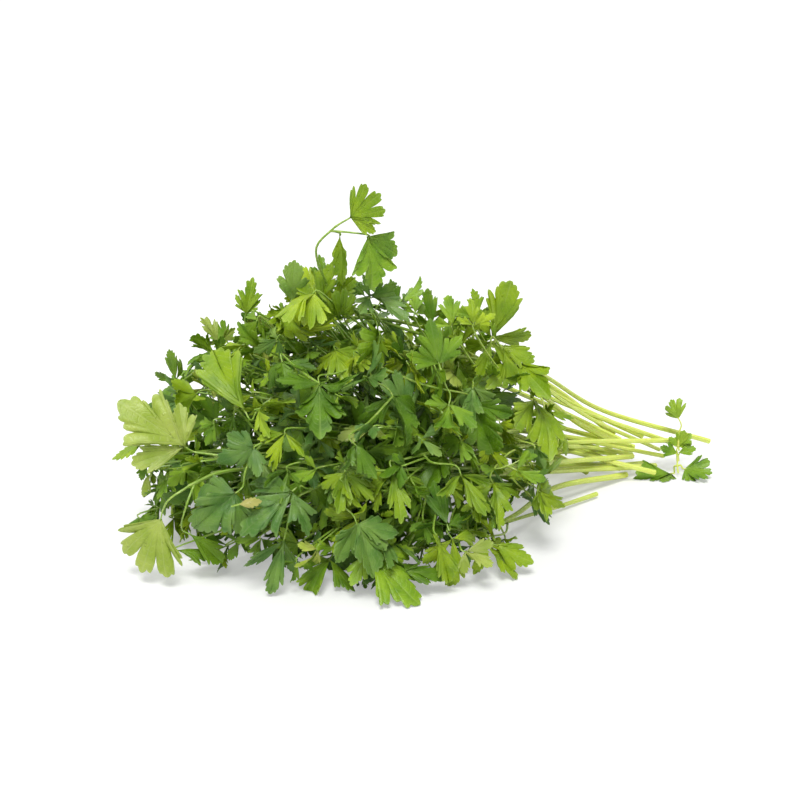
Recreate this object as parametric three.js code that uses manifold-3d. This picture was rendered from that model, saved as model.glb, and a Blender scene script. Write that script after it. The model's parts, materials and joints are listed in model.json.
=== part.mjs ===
// A bunch of flat-leaf parsley lying on its side: cut stems gathered at one end, divided leaves heaped
// at the other. Millimetres, +Z up, +X along the bunch towards the cut ends, origin at the middle of
// the base. Every stem and every leaf is one closed solid in its own named mesh.
import * as THREE from 'three';
import { mergeVertices } from 'three/addons/utils/BufferGeometryUtils.js';
import Module from 'manifold-3d';

const wasm = await Module();
wasm.setup();

// Driving dimensions
const cutRadius = 2.2; // a stem at its cut end
const crownRadius = 1.3; // the same stem where its leaves leave it
const stalkRadius = 0.9; // the thin stalk from a stem to its leaflets, and a slender stem
const bladeThickness = 0.8;
const clearance = 0.3; // between a stem and the stalks that leave it
const stemSides = 5;
const stemSteps = 18;
const stalkSides = 4;
const stalkSteps = 4;
const sideLeafletAngle = 75; // degrees from the end leaflet
const sideLeafletSize = 0.8; // of the end leaflet's length
const sideDroop = 0.25; // how steeply a side leaflet hangs
const sideTwist = 0.8; // and how fast its two sides tilt along it
const crownSetback = 4; // how far before the crown the side stalks leave
const stalkLeadIn = 6; // the straight last part of a stalk, at most
const stalkLeadShare = 0.25; // and as a share of its reach
const stalkSetOff = 0.4; // how far it runs on in its first direction, as a share of its reach
const stalkEase = 0.35; // how far its bend is drawn from there towards its last part
const stalkSeat = 1; // how far a stalk runs on over its blade
const stalkRise = 0.25; // and how far it stays above the blade's underside
const leafRoughness = 0.55;
const stemRoughness = 0.45;

// How far a piece may move from where it is drawn until it clears the others
const slack = {
  stemTries: 60,
  leafTries: 400,
  cutEnd: 6, // mm
  stem: 14,
  fork: 22,
  tip: 0.8, // of the leaflet's length
  shrink: 0.2,
  face: 0.9, // of the unit vector that the upper side faces along
};
const touch = 1e-4; // mm within which two corners are one, or a piece is on the surface

// Half outlines of a leaflet of length 1, from its neck to the last notch before its tip: [along, out]
const outlines = {
  lobed: [[0.09, 0.05], [0.2, 0.07], [0.47, 0.36], [0.58, 0.25], [0.84, 0.26]],
  lone: [[0.02, 0.05], [0.2, 0.07], [0.47, 0.36], [0.58, 0.25], [0.84, 0.26]],
  fan: [[0.02, 0.05], [0.2, 0.07], [0.42, 0.52], [0.62, 0.36], [0.86, 0.4], [0.88, 0.18]],
  narrow: [[0.02, 0.05], [0.15, 0.06], [0.4, 0.17], [0.55, 0.11], [0.75, 0.15], [0.86, 0.07]],
};

// The leaflets of each kind of leaf, from its right to its left: turn from the leaf's direction, size,
// the slope of its droop, and how fast its sides tilt along it
const leafKinds = {
  trio: [
    { outline: 'lobed', turn: -sideLeafletAngle, size: sideLeafletSize, droop: sideDroop, twist: sideTwist },
    { outline: 'lobed', turn: 0, size: 1, droop: 0, twist: 0 },
    { outline: 'lobed', turn: sideLeafletAngle, size: sideLeafletSize, droop: sideDroop, twist: -sideTwist },
  ],
  pair: [
    { outline: 'lobed', turn: 0, size: 1, droop: 0, twist: 0 },
    { outline: 'lobed', turn: sideLeafletAngle, size: sideLeafletSize, droop: 0, twist: 0 },
  ],
  single: [{ outline: 'lone', turn: 0, size: 1, droop: 0, twist: 0 }],
  fan: [{ outline: 'fan', turn: 0, size: 1, droop: 0, twist: 0 }],
  narrow: [{ outline: 'narrow', turn: 0, size: 1, droop: 0, twist: 0 }],
};

const colours = {
  bright: 0x81a833,
  mid: 0x659046,
  dark: 0x46701f,
  blue: 0x5c8c4c,
  pale: 0xa8bb66,
  stem: 0xb9c96a,
};

// Each sprig: its stem from cut end to crown, then its leaves. A leaf has the fork where its leaflets
// meet, the tip of its end leaflet and the way its upper side faces; more are forks further along.
// A leaf has its sprig's colour unless it names its own.
const sprigs = [
  { // the tallest, which arches clear of the heap
    stem: [[232, -4, 14], [140, -6, 58], [70, -10, 102], [16, -3, 126], [0, -4, 136], [-10, -7, 150],
      [-17, -11, 164], [-18, -14, 176], [-14, -17, 183], [-9, -19, 185]],
    leaves: [
      { side: 'end', kind: 'fan', fork: [-2, -23, 190], tip: [12, -34, 205], face: [-0.5, -0.8, 0.5] },
      { side: 'right', kind: 'pair', fork: [6, -29, 180], tip: [7, -37, 151], face: [0.2, -1, 0.1],
        colour: 'mid' },
      { side: 'left', kind: 'narrow', fork: [-6, -18, 180], tip: [-6, -20, 151], face: [-0.6, -1, 0] },
    ],
    colour: 'bright',
  },
  { // reaches out to the left
    stem: [[215, -3, 2.5], [152, -20, 16], [80, -52, 36], [10, -70, 52], [-40, -62, 60], [-72, -48, 66]],
    leaves: [
      { side: 'end', kind: 'trio', fork: [-104, -30, 73], tip: [-138, -20, 97], face: [-0.3, -1, 0.6] },
      { side: 'left', kind: 'trio', fork: [-88, -66, 56], tip: [-118, -78, 42], face: [-0.3, -0.9, 0.7],
        colour: 'blue', more: [{ fork: [-76, -64, 80], tip: [-100, -72, 76], face: [-0.4, -0.8, 0.7] }] },
    ],
    colour: 'pale',
  },
  { // its end leaf hangs down to the surface
    stem: [[211, 4, 2.5], [130, -20, 18], [60, -34, 34], [-20, -40, 48], [-84, -42, 60], [-108, -46, 56]],
    leaves: [
      { side: 'end', kind: 'fan', fork: [-123, -42, 40], tip: [-136, -44, 2], face: [-0.5, -1, 0.1],
        rests: true },
      { side: 'left', kind: 'fan', fork: [-108, -46, 28], tip: [-86, -54, 8], face: [0, -0.8, 0.7],
        colour: 'mid' },
    ],
    colour: 'pale',
  },
  {
    stem: [[196, -6, 13], [142, -28, 26], [70, -70, 48], [10, -76, 58], [-30, -74, 60], [-42, -78, 58]],
    leaves: [
      { side: 'end', kind: 'trio', fork: [-62, -82, 58], tip: [-94, -86, 40], face: [-0.3, -0.7, 0.8] },
      { side: 'right', kind: 'trio', fork: [-66, -80, 36], tip: [-78, -88, 6], face: [-0.2, -1, 0.3],
        rests: true },
      { side: 'left', kind: 'trio', fork: [-32, -101, 42], tip: [-25, -117, 17], face: [0, -1, 0.6] },
    ],
    colour: 'blue',
  },
  {
    stem: [[190, -9, 2.5], [125, -34, 13], [80, -66, 14], [36, -88, 16], [-2, -92, 18]],
    leaves: [
      { side: 'end', kind: 'trio', fork: [-26, -100, 27], tip: [-10, -128, 4], face: [0, -0.8, 0.7],
        rests: true },
      { side: 'right', kind: 'trio', fork: [-40, -80, 16], tip: [-68, -92, 4], face: [-0.2, -0.4, 1],
        rests: true },
    ],
    colour: 'mid',
  },
  { // the shortest stem, along the near side
    stem: [[157, -30, 2.5], [127, -40, 3.5], [98, -51, 6], [76, -64, 10]],
    leaves: [
      { side: 'left', kind: 'trio', fork: [46, -102, 20], tip: [58, -118, 4], face: [0.4, -0.6, 0.8],
        rests: true },
      { side: 'end', kind: 'trio', fork: [22, -108, 34], tip: [30, -122, 6], face: [0, -1, 0.3],
        rests: true },
    ],
    colour: 'bright',
  },
  {
    stem: [[203, 7, 9], [165, -8, 24], [130, -36, 40], [98, -58, 54]],
    leaves: [
      { side: 'left', kind: 'trio', fork: [84, -80, 50], tip: [88, -108, 30], face: [0.5, -1, 0.5] },
      { side: 'end', kind: 'trio', fork: [55, -90, 48], tip: [50, -114, 32], face: [0, -1, 0.6] },
    ],
    colour: 'bright',
  },
  {
    stem: [[186, 2, 22], [160, 0, 38], [130, -16, 62], [109, -28, 77], [104, -38, 80]],
    leaves: [
      { side: 'end', kind: 'trio', fork: [98, -56, 80], tip: [102, -88, 58], face: [0.4, -1, 0.6] },
      { side: 'left', kind: 'trio', fork: [116, -50, 60], tip: [134, -56, 46], face: [0.6, -0.7, 0.7] },
    ],
    colour: 'bright',
  },
  { // the longest stem
    stem: [[253, -6, 14.5], [180, 8, 42], [130, -8, 76], [106, -12, 90], [92, -22, 98]],
    leaves: [
      { side: 'end', kind: 'trio', fork: [81, -34, 113], tip: [88, -43, 146], face: [-0.2, -1, 0.6] },
      { side: 'left', kind: 'trio', fork: [90, -48, 102], tip: [94, -78, 92], face: [0.3, -0.8, 0.8] },
      { side: 'right', kind: 'trio', fork: [60, -40, 112], tip: [46, -54, 126], face: [-0.2, -1, 0.5],
        more: [{ fork: [84, 16, 116], tip: [96, 40, 106], face: [0.3, 0.3, 1] }] },
    ],
    colour: 'bright',
  },
  {
    stem: [[212, 9, 19], [160, 16, 48], [110, 4, 84], [72, 0, 106]],
    leaves: [
      { side: 'left', kind: 'trio', fork: [34, -64, 112], tip: [30, -58, 138], face: [0, -1, 0.4],
        more: [{ fork: [30, -84, 96], tip: [20, -98, 78], face: [0.1, -1, 0.5] }] },
      { side: 'end', kind: 'trio', fork: [52, -10, 117], tip: [50, -10, 140], face: [-0.3, -1, 0.3],
        more: [{ fork: [50, 24, 124], tip: [56, 52, 118], face: [0.1, 0.4, 1] }] },
    ],
    colour: 'mid',
  },
  {
    stem: [[196, 18, 20], [150, 22, 58], [90, 14, 96], [36, 8, 118], [2, 8, 124]],
    leaves: [
      { side: 'left', kind: 'trio', fork: [14, -12, 140], tip: [26, -38, 130], face: [0.2, -0.3, 1] },
      { side: 'end', kind: 'trio', fork: [-26, 8, 137], tip: [-25, 4, 160], face: [-0.2, -1, 0.3],
        more: [{ fork: [-2, 36, 126], tip: [2, 64, 118], face: [0, 0.4, 1] }] },
    ],
    colour: 'blue',
  },
  {
    stem: [[186, 2, 7.5], [142, -12, 32], [90, -50, 60], [40, -72, 66], [14, -78, 66]],
    leaves: [
      { side: 'end', kind: 'trio', fork: [-8, -94, 66], tip: [-10, -116, 46], face: [0, -1, 0.5],
        more: [{ fork: [-34, -90, 68], tip: [-44, -104, 50], face: [-0.2, -1, 0.5] }] },
      { side: 'left', kind: 'trio', fork: [30, -100, 60], tip: [36, -117, 40], face: [0.2, -1, 0.4] },
    ],
    colour: 'bright',
  },
  {
    stem: [[222, 4, 10], [160, -14, 46], [90, -30, 94], [30, -30, 110], [4, -34, 114], [-2, -46, 111]],
    leaves: [
      { side: 'right', kind: 'trio', fork: [-37, -62, 110], tip: [-50, -94, 92], face: [-0.3, -0.9, 0.6],
        more: [{ fork: [-50, -40, 118], tip: [-56, -60, 108], face: [-0.5, -0.7, 0.7] }] },
      { side: 'end', kind: 'trio', fork: [4, -72, 102], tip: [8, -96, 84], face: [0.1, -0.9, 0.7],
        more: [{ fork: [-28, -92, 84], tip: [-22, -108, 70], face: [0, -0.9, 0.7] }] },
      { side: 'left', kind: 'trio', fork: [52, -70, 88], tip: [54, -92, 64], face: [0, -1, 0.5] },
    ],
    colour: 'dark',
  },
  {
    stem: [[182, 4, 15], [130, 0, 40], [60, -10, 66], [0, -18, 80], [-44, -24, 88]],
    leaves: [
      { side: 'end', kind: 'single', fork: [-72, -40, 92], tip: [-86, -16, 122], face: [-0.7, -0.8, 0.3] },
      { side: 'right', kind: 'trio', fork: [-84, 10, 88], tip: [-110, 8, 80], face: [-0.5, -0.7, 0.6],
        more: [{ fork: [-108, 30, 58], tip: [-134, 36, 42], face: [-1, 0.2, 0.4] }] },
    ],
    colour: 'bright',
  },
  {
    stem: [[195, 8, 19.5], [140, 22, 50], [70, 26, 84], [0, 26, 102], [-36, 22, 110]],
    leaves: [
      { side: 'end', kind: 'trio', fork: [-47, 26, 127], tip: [-44, 22, 149], face: [-0.4, -1, 0.3] },
      { side: 'left', kind: 'trio', fork: [-50, -6, 116], tip: [-64, -8, 132], face: [-0.5, -0.8, 0.6] },
      { side: 'right', kind: 'trio', fork: [-66, 26, 104], tip: [-80, 34, 120], face: [-0.6, -0.7, 0.5],
        more: [{ fork: [-82, 46, 84], tip: [-108, 54, 66], face: [-0.7, 0.4, 0.6] }] },
    ],
    colour: 'mid',
  },
  { // a loose sprig that stands among the cut ends
    stem: [[221, -21, 3], [222, -18, 6], [223, -16, 10]],
    slender: true,
    leaves: [
      { side: 'left', kind: 'pair', fork: [220, -15, 1], tip: [197, -13, 1], face: [0, 0, 1], flat: true,
        rests: true },
      { side: 'right', kind: 'fan', fork: [225, -22, 5], tip: [238, -31, 4], face: [0.1, -0.7, 0.7],
        rests: true },
      { side: 'end', kind: 'trio', fork: [223, -16, 19], tip: [227, -18, 32], face: [-0.3, -1, 0.2],
        more: [{ kind: 'fan', fork: [223, -15, 37], tip: [217, -12, 51], face: [-0.3, -1, 0.2] }] },
    ],
    colour: 'mid',
  },
  { // the far side
    stem: [[207, 10, 12], [150, 34, 30], [80, 54, 58], [20, 68, 76], [-14, 72, 84]],
    leaves: [
      { side: 'end', kind: 'trio', fork: [-44, 78, 82], tip: [-78, 84, 62], face: [-0.5, 0.7, 0.6],
        more: [{ fork: [-52, 58, 96], tip: [-82, 62, 96], face: [-0.4, 0.4, 0.9] }] },
      { side: 'right', kind: 'trio', fork: [2, 100, 68], tip: [4, 132, 46], face: [0, 0.6, 1],
        more: [{ fork: [-34, 106, 44], tip: [-42, 132, 24], face: [-0.2, 0.7, 0.9] },
          { fork: [34, 90, 84], tip: [44, 112, 62], face: [0.2, 1, 0.5] }] },
    ],
    colour: 'mid',
  },
  {
    stem: [[185, 8, 2.5], [140, 38, 8], [96, 58, 16], [62, 72, 26]],
    leaves: [
      { side: 'right', kind: 'trio', fork: [80, 88, 30], tip: [100, 106, 8], face: [0.4, 0.8, 0.5],
        more: [{ fork: [68, 82, 56], tip: [90, 94, 42], face: [0.4, 0.9, 0.6] }] },
      { side: 'end', kind: 'trio', fork: [36, 98, 24], tip: [26, 128, 4], face: [-0.1, 0.7, 0.8],
        rests: true, more: [{ fork: [0, 102, 22], tip: [-16, 128, 6], face: [-0.2, 0.8, 0.7] }] },
    ],
    colour: 'dark',
  },
];

// A small seeded generator, so the bunch is the same every time
const generator = { factor: 1103515245, step: 12345, range: 2147483648 };
let seed = 11;
function random() {
  seed = (seed * generator.factor + generator.step) % generator.range;
  return seed / generator.range;
}
const scatter = (amount) => (random() * 2 - 1) * amount;
const point = (values) => new THREE.Vector3(...values);
const scatterPoint = (amount) => new THREE.Vector3(scatter(amount), scatter(amount), scatter(amount));

function solidOf(geometry) {
  const bare = new THREE.BufferGeometry();
  bare.setAttribute('position', geometry.attributes.position);
  const merged = mergeVertices(bare, touch);
  const mesh = { numProp: 3, vertProperties: merged.attributes.position.array, triVerts: merged.index.array };
  return new wasm.Manifold(new wasm.Mesh(mesh));
}

function geometryOf(solid) {
  const mesh = solid.getMesh();
  const geometry = new THREE.BufferGeometry();
  geometry.setAttribute('position', new THREE.BufferAttribute(mesh.vertProperties, 3));
  geometry.setIndex(new THREE.BufferAttribute(mesh.triVerts, 1));
  geometry.computeVertexNormals();
  return geometry;
}

// A round section swept along a curve, drawn in from startRadius to endRadius
function taperedTube(points, sides, steps, startRadius, endRadius) {
  const curve = new THREE.CatmullRomCurve3(points, false, 'centripetal');
  const section = new THREE.Shape();
  for (let i = 0; i < sides; i += 1) {
    const angle = (i / sides) * Math.PI * 2;
    const x = Math.cos(angle) * startRadius;
    const y = Math.sin(angle) * startRadius;
    if (i === 0) section.moveTo(x, y);
    else section.lineTo(x, y);
  }
  const geometry = new THREE.ExtrudeGeometry(section, { steps, extrudePath: curve, curveSegments: 1 });
  const rings = curve.getSpacedPoints(steps);
  const position = geometry.attributes.position;
  const corner = new THREE.Vector3();
  for (let i = 0; i < position.count; i += 1) {
    corner.fromBufferAttribute(position, i);
    const distances = rings.map((ring) => ring.distanceTo(corner));
    const nearest = distances.indexOf(Math.min(...distances));
    const radius = startRadius + (endRadius - startRadius) * (nearest / steps);
    corner.sub(rings[nearest]).multiplyScalar(radius / startRadius).add(rings[nearest]);
    position.setXYZ(i, corner.x, corner.y, corner.z);
  }
  return geometry;
}

const axisOf = (leaflet) => {
  const angle = THREE.MathUtils.degToRad(leaflet.turn);
  return new THREE.Vector2(Math.cos(angle), Math.sin(angle));
};

// The flat outline of a leaf with its fork at 0,0 and its end leaflet along +X
function leafShape(leaflets, length) {
  const corners = [];
  for (const leaflet of leaflets) {
    const half = outlines[leaflet.outline];
    const right = half.map(([along, out]) => new THREE.Vector2(along, -out));
    const left = half.map(([along, out]) => new THREE.Vector2(along, out)).reverse();
    const turn = THREE.MathUtils.degToRad(leaflet.turn);
    for (const corner of [...right, new THREE.Vector2(1, 0), ...left]) {
      corners.push(corner.multiplyScalar(length * leaflet.size).rotateAround(new THREE.Vector2(), turn));
    }
  }
  return new THREE.Shape(corners);
}

// A leaf blade, its side leaflets drooping and twisted out of the flat
function leafBlade(kind, length) {
  const leaflets = leafKinds[kind];
  const shape = leafShape(leaflets, length);
  const geometry = new THREE.ExtrudeGeometry(shape, { depth: bladeThickness, bevelEnabled: false });
  geometry.translate(0, 0, -bladeThickness / 2);
  const position = geometry.attributes.position;
  for (let i = 0; i < position.count; i += 1) {
    const corner = new THREE.Vector2(position.getX(i), position.getY(i));
    const along = (leaflet) => corner.dot(axisOf(leaflet));
    const own = leaflets.reduce((best, leaflet) => (along(leaflet) > along(best) ? leaflet : best));
    const across = axisOf(own).cross(corner);
    const beyondNeck = Math.max(0, along(own) - outlines[own.outline][0][0] * own.size * length);
    const lift = beyondNeck * (own.twist * across / length - own.droop);
    position.setZ(i, position.getZ(i) + lift);
  }
  return geometry;
}

// The leaf's own axes at its fork: x towards the tip, z out of its upper face
function leafAxes(fork, tip, face) {
  const x = tip.clone().sub(fork).normalize();
  const z = face.clone().addScaledVector(x, -face.dot(x)).normalize();
  const y = z.clone().cross(x);
  return new THREE.Matrix4().makeBasis(x, y, z).setPosition(fork);
}

// One fork of leaflets on the stalk that carries it
function forkSolid({ kind, fork, tip, face }, start, leaving) {
  const axes = leafAxes(fork, tip, face);
  const forward = new THREE.Vector3().setFromMatrixColumn(axes, 0);
  const upward = new THREE.Vector3().setFromMatrixColumn(axes, 2);
  const reach = fork.distanceTo(start);
  const seat = fork.clone().addScaledVector(upward, stalkRadius + stalkRise - bladeThickness / 2);
  const arriving = seat.clone().addScaledVector(forward, -Math.min(reach * stalkLeadShare, stalkLeadIn));
  const bend = start.clone().addScaledVector(leaving, reach * stalkSetOff).lerp(arriving, stalkEase);
  const route = [start, bend, arriving, seat.clone().addScaledVector(forward, stalkSeat)];
  const stalk = taperedTube(route, stalkSides, stalkSteps, stalkRadius, stalkRadius);
  const blade = leafBlade(kind, tip.distanceTo(fork)).applyMatrix4(axes);
  return solidOf(stalk).add(solidOf(blade));
}

function leafSolid(leaf, stalk) {
  let solid = forkSolid(leaf, stalk.start, stalk.direction);
  for (const next of leaf.more) {
    const onward = next.fork.clone().sub(leaf.fork).normalize();
    solid = solid.add(forkSolid(next, leaf.fork, onward));
  }
  return solid;
}

const placed = [];
const boxOf = (solid) => {
  const { min, max } = solid.boundingBox();
  return new THREE.Box3(point(min), point(max));
};

function isFree(solid) {
  const box = boxOf(solid);
  if (box.min.z < -touch || solid.decompose().length > 1) return false;
  return placed.every((other) => !other.box.intersectsBox(box) || solid.intersect(other.solid).isEmpty());
}

// Tries a piece as drawn, then moved further and further from that, until it clears all the others
function place(name, tries, make) {
  for (let attempt = 0; attempt < tries; attempt += 1) {
    const solid = make(attempt / tries);
    if (isFree(solid)) {
      placed.push({ name, solid, box: boxOf(solid) });
      return solid;
    }
  }
  throw new Error(`${name} finds no room`);
}

function drawStem(points, looseness) {
  const slide = (i) => scatterPoint((i === 0 ? slack.cutEnd : slack.stem) * looseness);
  const route = points.map((p, i) => point(p).add(slide(i)));
  route.forEach((p) => p.setZ(Math.max(p.z, cutRadius + clearance)));
  return route;
}

// Where a leaf's stalk starts: straight on from the crown, or from the left or right of the stem
function stalkStart(route, side) {
  const end = route[route.length - 1];
  const direction = end.clone().sub(route[route.length - 2]).normalize();
  if (side === 'end') return { start: end.clone().addScaledVector(direction, clearance), direction };
  const outward = new THREE.Vector3(0, 0, 1).cross(direction).normalize();
  if (side === 'right') outward.negate();
  const start = end.clone().addScaledVector(direction, -crownSetback);
  start.addScaledVector(outward, crownRadius + clearance + stalkRadius);
  return { start, direction: direction.add(outward).normalize() };
}

function varyFork(leaf, looseness) {
  const length = point(leaf.tip).distanceTo(point(leaf.fork));
  const fork = point(leaf.fork).add(scatterPoint(slack.fork * looseness));
  const tip = point(leaf.tip).add(scatterPoint(length * slack.tip * looseness));
  tip.sub(fork).setLength(length * (1 - slack.shrink * looseness)).add(fork);
  const face = point(leaf.face).normalize().add(scatterPoint(slack.face * looseness));
  if (leaf.flat) {
    tip.setZ(fork.z);
    face.set(0, 0, 1);
  }
  return { kind: leaf.kind ?? 'trio', fork, tip, face };
}

function varyLeaf(leaf, looseness) {
  const more = (leaf.more ?? []).map((next) => varyFork(next, looseness));
  return { ...varyFork(leaf, looseness), more };
}

// Lowers a leaf that rests on the surface until its lowest point is on it
function settle(leaf, stalk) {
  const drop = leafSolid(leaf, stalk).boundingBox().min[2];
  const lower = (end) => ({
    ...end,
    fork: end.fork.clone().setZ(end.fork.z - drop),
    tip: end.tip.clone().setZ(end.tip.z - drop),
  });
  return leafSolid({ ...lower(leaf), more: leaf.more.map(lower) }, stalk);
}

function meshOf(name, solid, colour) {
  const roughness = name.startsWith('stem') ? stemRoughness : leafRoughness;
  const material = new THREE.MeshStandardMaterial({ color: colours[colour], roughness, metalness: 0 });
  const mesh = new THREE.Mesh(geometryOf(solid), material);
  mesh.name = name;
  return mesh;
}

const bunch = new THREE.Group();
const routes = [];

sprigs.forEach((sprig, i) => {
  const name = `stem_${String(i + 1).padStart(2, '0')}`;
  const solid = place(name, slack.stemTries, (looseness) => {
    routes[i] = drawStem(sprig.stem, looseness);
    const radii = sprig.slender ? [stalkRadius, stalkRadius] : [cutRadius, crownRadius];
    return solidOf(taperedTube(routes[i], stemSides, stemSteps, ...radii));
  });
  bunch.add(meshOf(name, solid, 'stem'));
});

sprigs.forEach((sprig, i) => {
  for (const leaf of sprig.leaves) {
    const name = `leaf_${String(i + 1).padStart(2, '0')}_${leaf.side}`;
    const stalk = stalkStart(routes[i], leaf.side);
    const solid = place(name, slack.leafTries, (looseness) => {
      const varied = varyLeaf(leaf, looseness);
      return leaf.rests ? settle(varied, stalk) : leafSolid(varied, stalk);
    });
    bunch.add(meshOf(name, solid, leaf.colour ?? sprig.colour));
  }
});

// The origin is the middle of the bunch's footprint, on the surface that it lies on
const extent = new THREE.Box3().setFromObject(bunch);
const middle = extent.getCenter(new THREE.Vector3());
bunch.position.set(-middle.x, -middle.y, -extent.min.z);

export default bunch;
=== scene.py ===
# A bunch of flat-leaf parsley: true leaves and stems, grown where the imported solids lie
import itertools
import json
import math
import random
from functools import partial
import bpy
import numpy as np
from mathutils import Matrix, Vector
from mathutils.bvhtree import BVHTree

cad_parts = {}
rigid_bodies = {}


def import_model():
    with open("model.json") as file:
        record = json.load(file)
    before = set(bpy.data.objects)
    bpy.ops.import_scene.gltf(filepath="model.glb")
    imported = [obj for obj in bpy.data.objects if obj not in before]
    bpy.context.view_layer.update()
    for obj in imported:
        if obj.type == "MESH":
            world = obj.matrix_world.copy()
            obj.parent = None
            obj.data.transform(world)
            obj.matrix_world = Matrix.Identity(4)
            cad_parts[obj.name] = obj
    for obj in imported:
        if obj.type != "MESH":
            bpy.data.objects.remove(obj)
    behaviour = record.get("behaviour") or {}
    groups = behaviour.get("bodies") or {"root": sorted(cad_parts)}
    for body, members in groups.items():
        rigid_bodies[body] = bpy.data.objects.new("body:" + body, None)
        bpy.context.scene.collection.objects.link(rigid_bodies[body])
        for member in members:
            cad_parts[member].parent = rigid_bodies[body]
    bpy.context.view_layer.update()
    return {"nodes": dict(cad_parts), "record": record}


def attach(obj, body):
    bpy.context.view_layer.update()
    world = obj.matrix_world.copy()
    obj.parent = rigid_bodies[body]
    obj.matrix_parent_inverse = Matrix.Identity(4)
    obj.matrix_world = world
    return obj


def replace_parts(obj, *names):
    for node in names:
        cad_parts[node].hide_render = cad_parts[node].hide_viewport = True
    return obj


for thing in list(bpy.data.objects):
    bpy.data.objects.remove(thing)
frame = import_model()
bpy.ops.object.select_all(action="DESELECT")
chance = random.Random(11)
mm = 0.001


# Camera, lamps and floor

camera = {
    "azimuth": -24,
    "elevation": 19,
    "distance": 1.10,
    "lens": 85,
    "target": (-0.0209, -0.0162, 0.076),
}
studio = {
    "floor": "#f4f4f2",
    "floorSize": 14,
    "floorPlace": (0, 0, -0.4 * mm),
    "floorGlow": 0.35,  # share of plain white that the camera sees in the floor
    "worldColour": "#fdfeff",
    "worldStrength": 0.44,
    "keyStrength": 2.9,
    "keySoftness": 24,  # degrees that the key lamp spans
    "keyTurn": (26, -16, 0),
    "softboxPower": 3.2,
    "softboxSize": 0.7,
    "softboxPlace": (-0.25, 0.35, 0.9),
}


def linear(hexColour):
    values = [int(hexColour[i:i + 2], 16) / 255 for i in (1, 3, 5)]
    return [v / 12.92 if v <= 0.04045 else ((v + 0.055) / 1.055) ** 2.4 for v in values] + [1]


# adds one node and gives its output; its inputs are values or the outputs they come from, and a pair of
# sockets takes a pair of values, as both ends of a range do
def addNode(tree, kind, inputs=None, out=0, **settings):
    node = tree.nodes.new("ShaderNode" + kind)
    for name, value in settings.items():
        setattr(node, name, value)
    for socket, value in (inputs or {}).items():
        if isinstance(socket, tuple):
            for part, number in zip(socket, value):
                node.inputs[part].default_value = number
        elif isinstance(value, bpy.types.NodeSocket):
            tree.links.new(value, node.inputs[socket])
        else:
            node.inputs[socket].default_value = value
    return node.outputs[out] if len(node.outputs) else None


# clears an owner's node tree and gives what adds nodes to it
def startNodes(owner):
    owner.use_nodes = True
    owner.node_tree.nodes.clear()
    return partial(addNode, owner.node_tree)


def addCamera():
    turn, tilt = math.radians(camera["azimuth"]), math.radians(camera["elevation"])
    back = Vector((math.sin(turn) * math.cos(tilt), -math.cos(turn) * math.cos(tilt), math.sin(tilt)))
    bpy.ops.object.camera_add(location=Vector(camera["target"]) + back * camera["distance"])
    eye = bpy.context.object
    eye.rotation_euler = (-back).to_track_quat("-Z", "Y").to_euler()
    eye.data.lens = camera["lens"]
    bpy.context.scene.camera = eye
    bpy.context.scene.view_settings.view_transform = "Standard"


# the world is white to the camera, to gloss and through glass, and a plain soft light to everything else
def addStudio():
    world = bpy.data.worlds.new("studioWhite")
    bpy.context.scene.world = world
    add = startNodes(world)
    seen = add("LightPath", out="Is Camera Ray")
    for ray in ("Is Glossy Ray", "Is Transmission Ray"):
        seen = add("Math", {0: seen, 1: add("LightPath", out=ray)}, operation="MAXIMUM")
    soft = add("Background", {"Color": linear(studio["worldColour"]), "Strength": studio["worldStrength"]})
    white = add("Background", {"Color": (1, 1, 1, 1), "Strength": 1})
    add("OutputWorld", {"Surface": add("MixShader", {0: seen, 1: soft, 2: white})})

    bpy.ops.mesh.primitive_plane_add(size=studio["floorSize"], location=studio["floorPlace"])
    floor = bpy.context.object
    floor.name = "floor"
    material = bpy.data.materials.new("whiteSweep")
    add = startNodes(material)
    matt = add("BsdfDiffuse", {"Color": linear(studio["floor"])})
    glow = add("Emission", {"Color": (1, 1, 1, 1), "Strength": 1})
    share = add("Math", {0: add("LightPath", out="Is Camera Ray"), 1: studio["floorGlow"]},
                operation="MULTIPLY")
    add("OutputMaterial", {"Surface": add("MixShader", {0: share, 1: matt, 2: glow})})
    floor.data.materials.append(material)

    bpy.ops.object.light_add(type="SUN", rotation=[math.radians(a) for a in studio["keyTurn"]])
    key = bpy.context.object
    key.data.energy = studio["keyStrength"]
    key.data.angle = math.radians(studio["keySoftness"])
    bpy.ops.object.light_add(type="AREA", location=studio["softboxPlace"])
    softbox = bpy.context.object
    softbox.data.energy = studio["softboxPower"]
    softbox.data.size = studio["softboxSize"]
    softbox.rotation_euler = (-Vector(studio["softboxPlace"])).to_track_quat("-Z", "Y").to_euler()


addCamera()
addStudio()
print("camera, lamps and floor made")


# Materials

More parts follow.
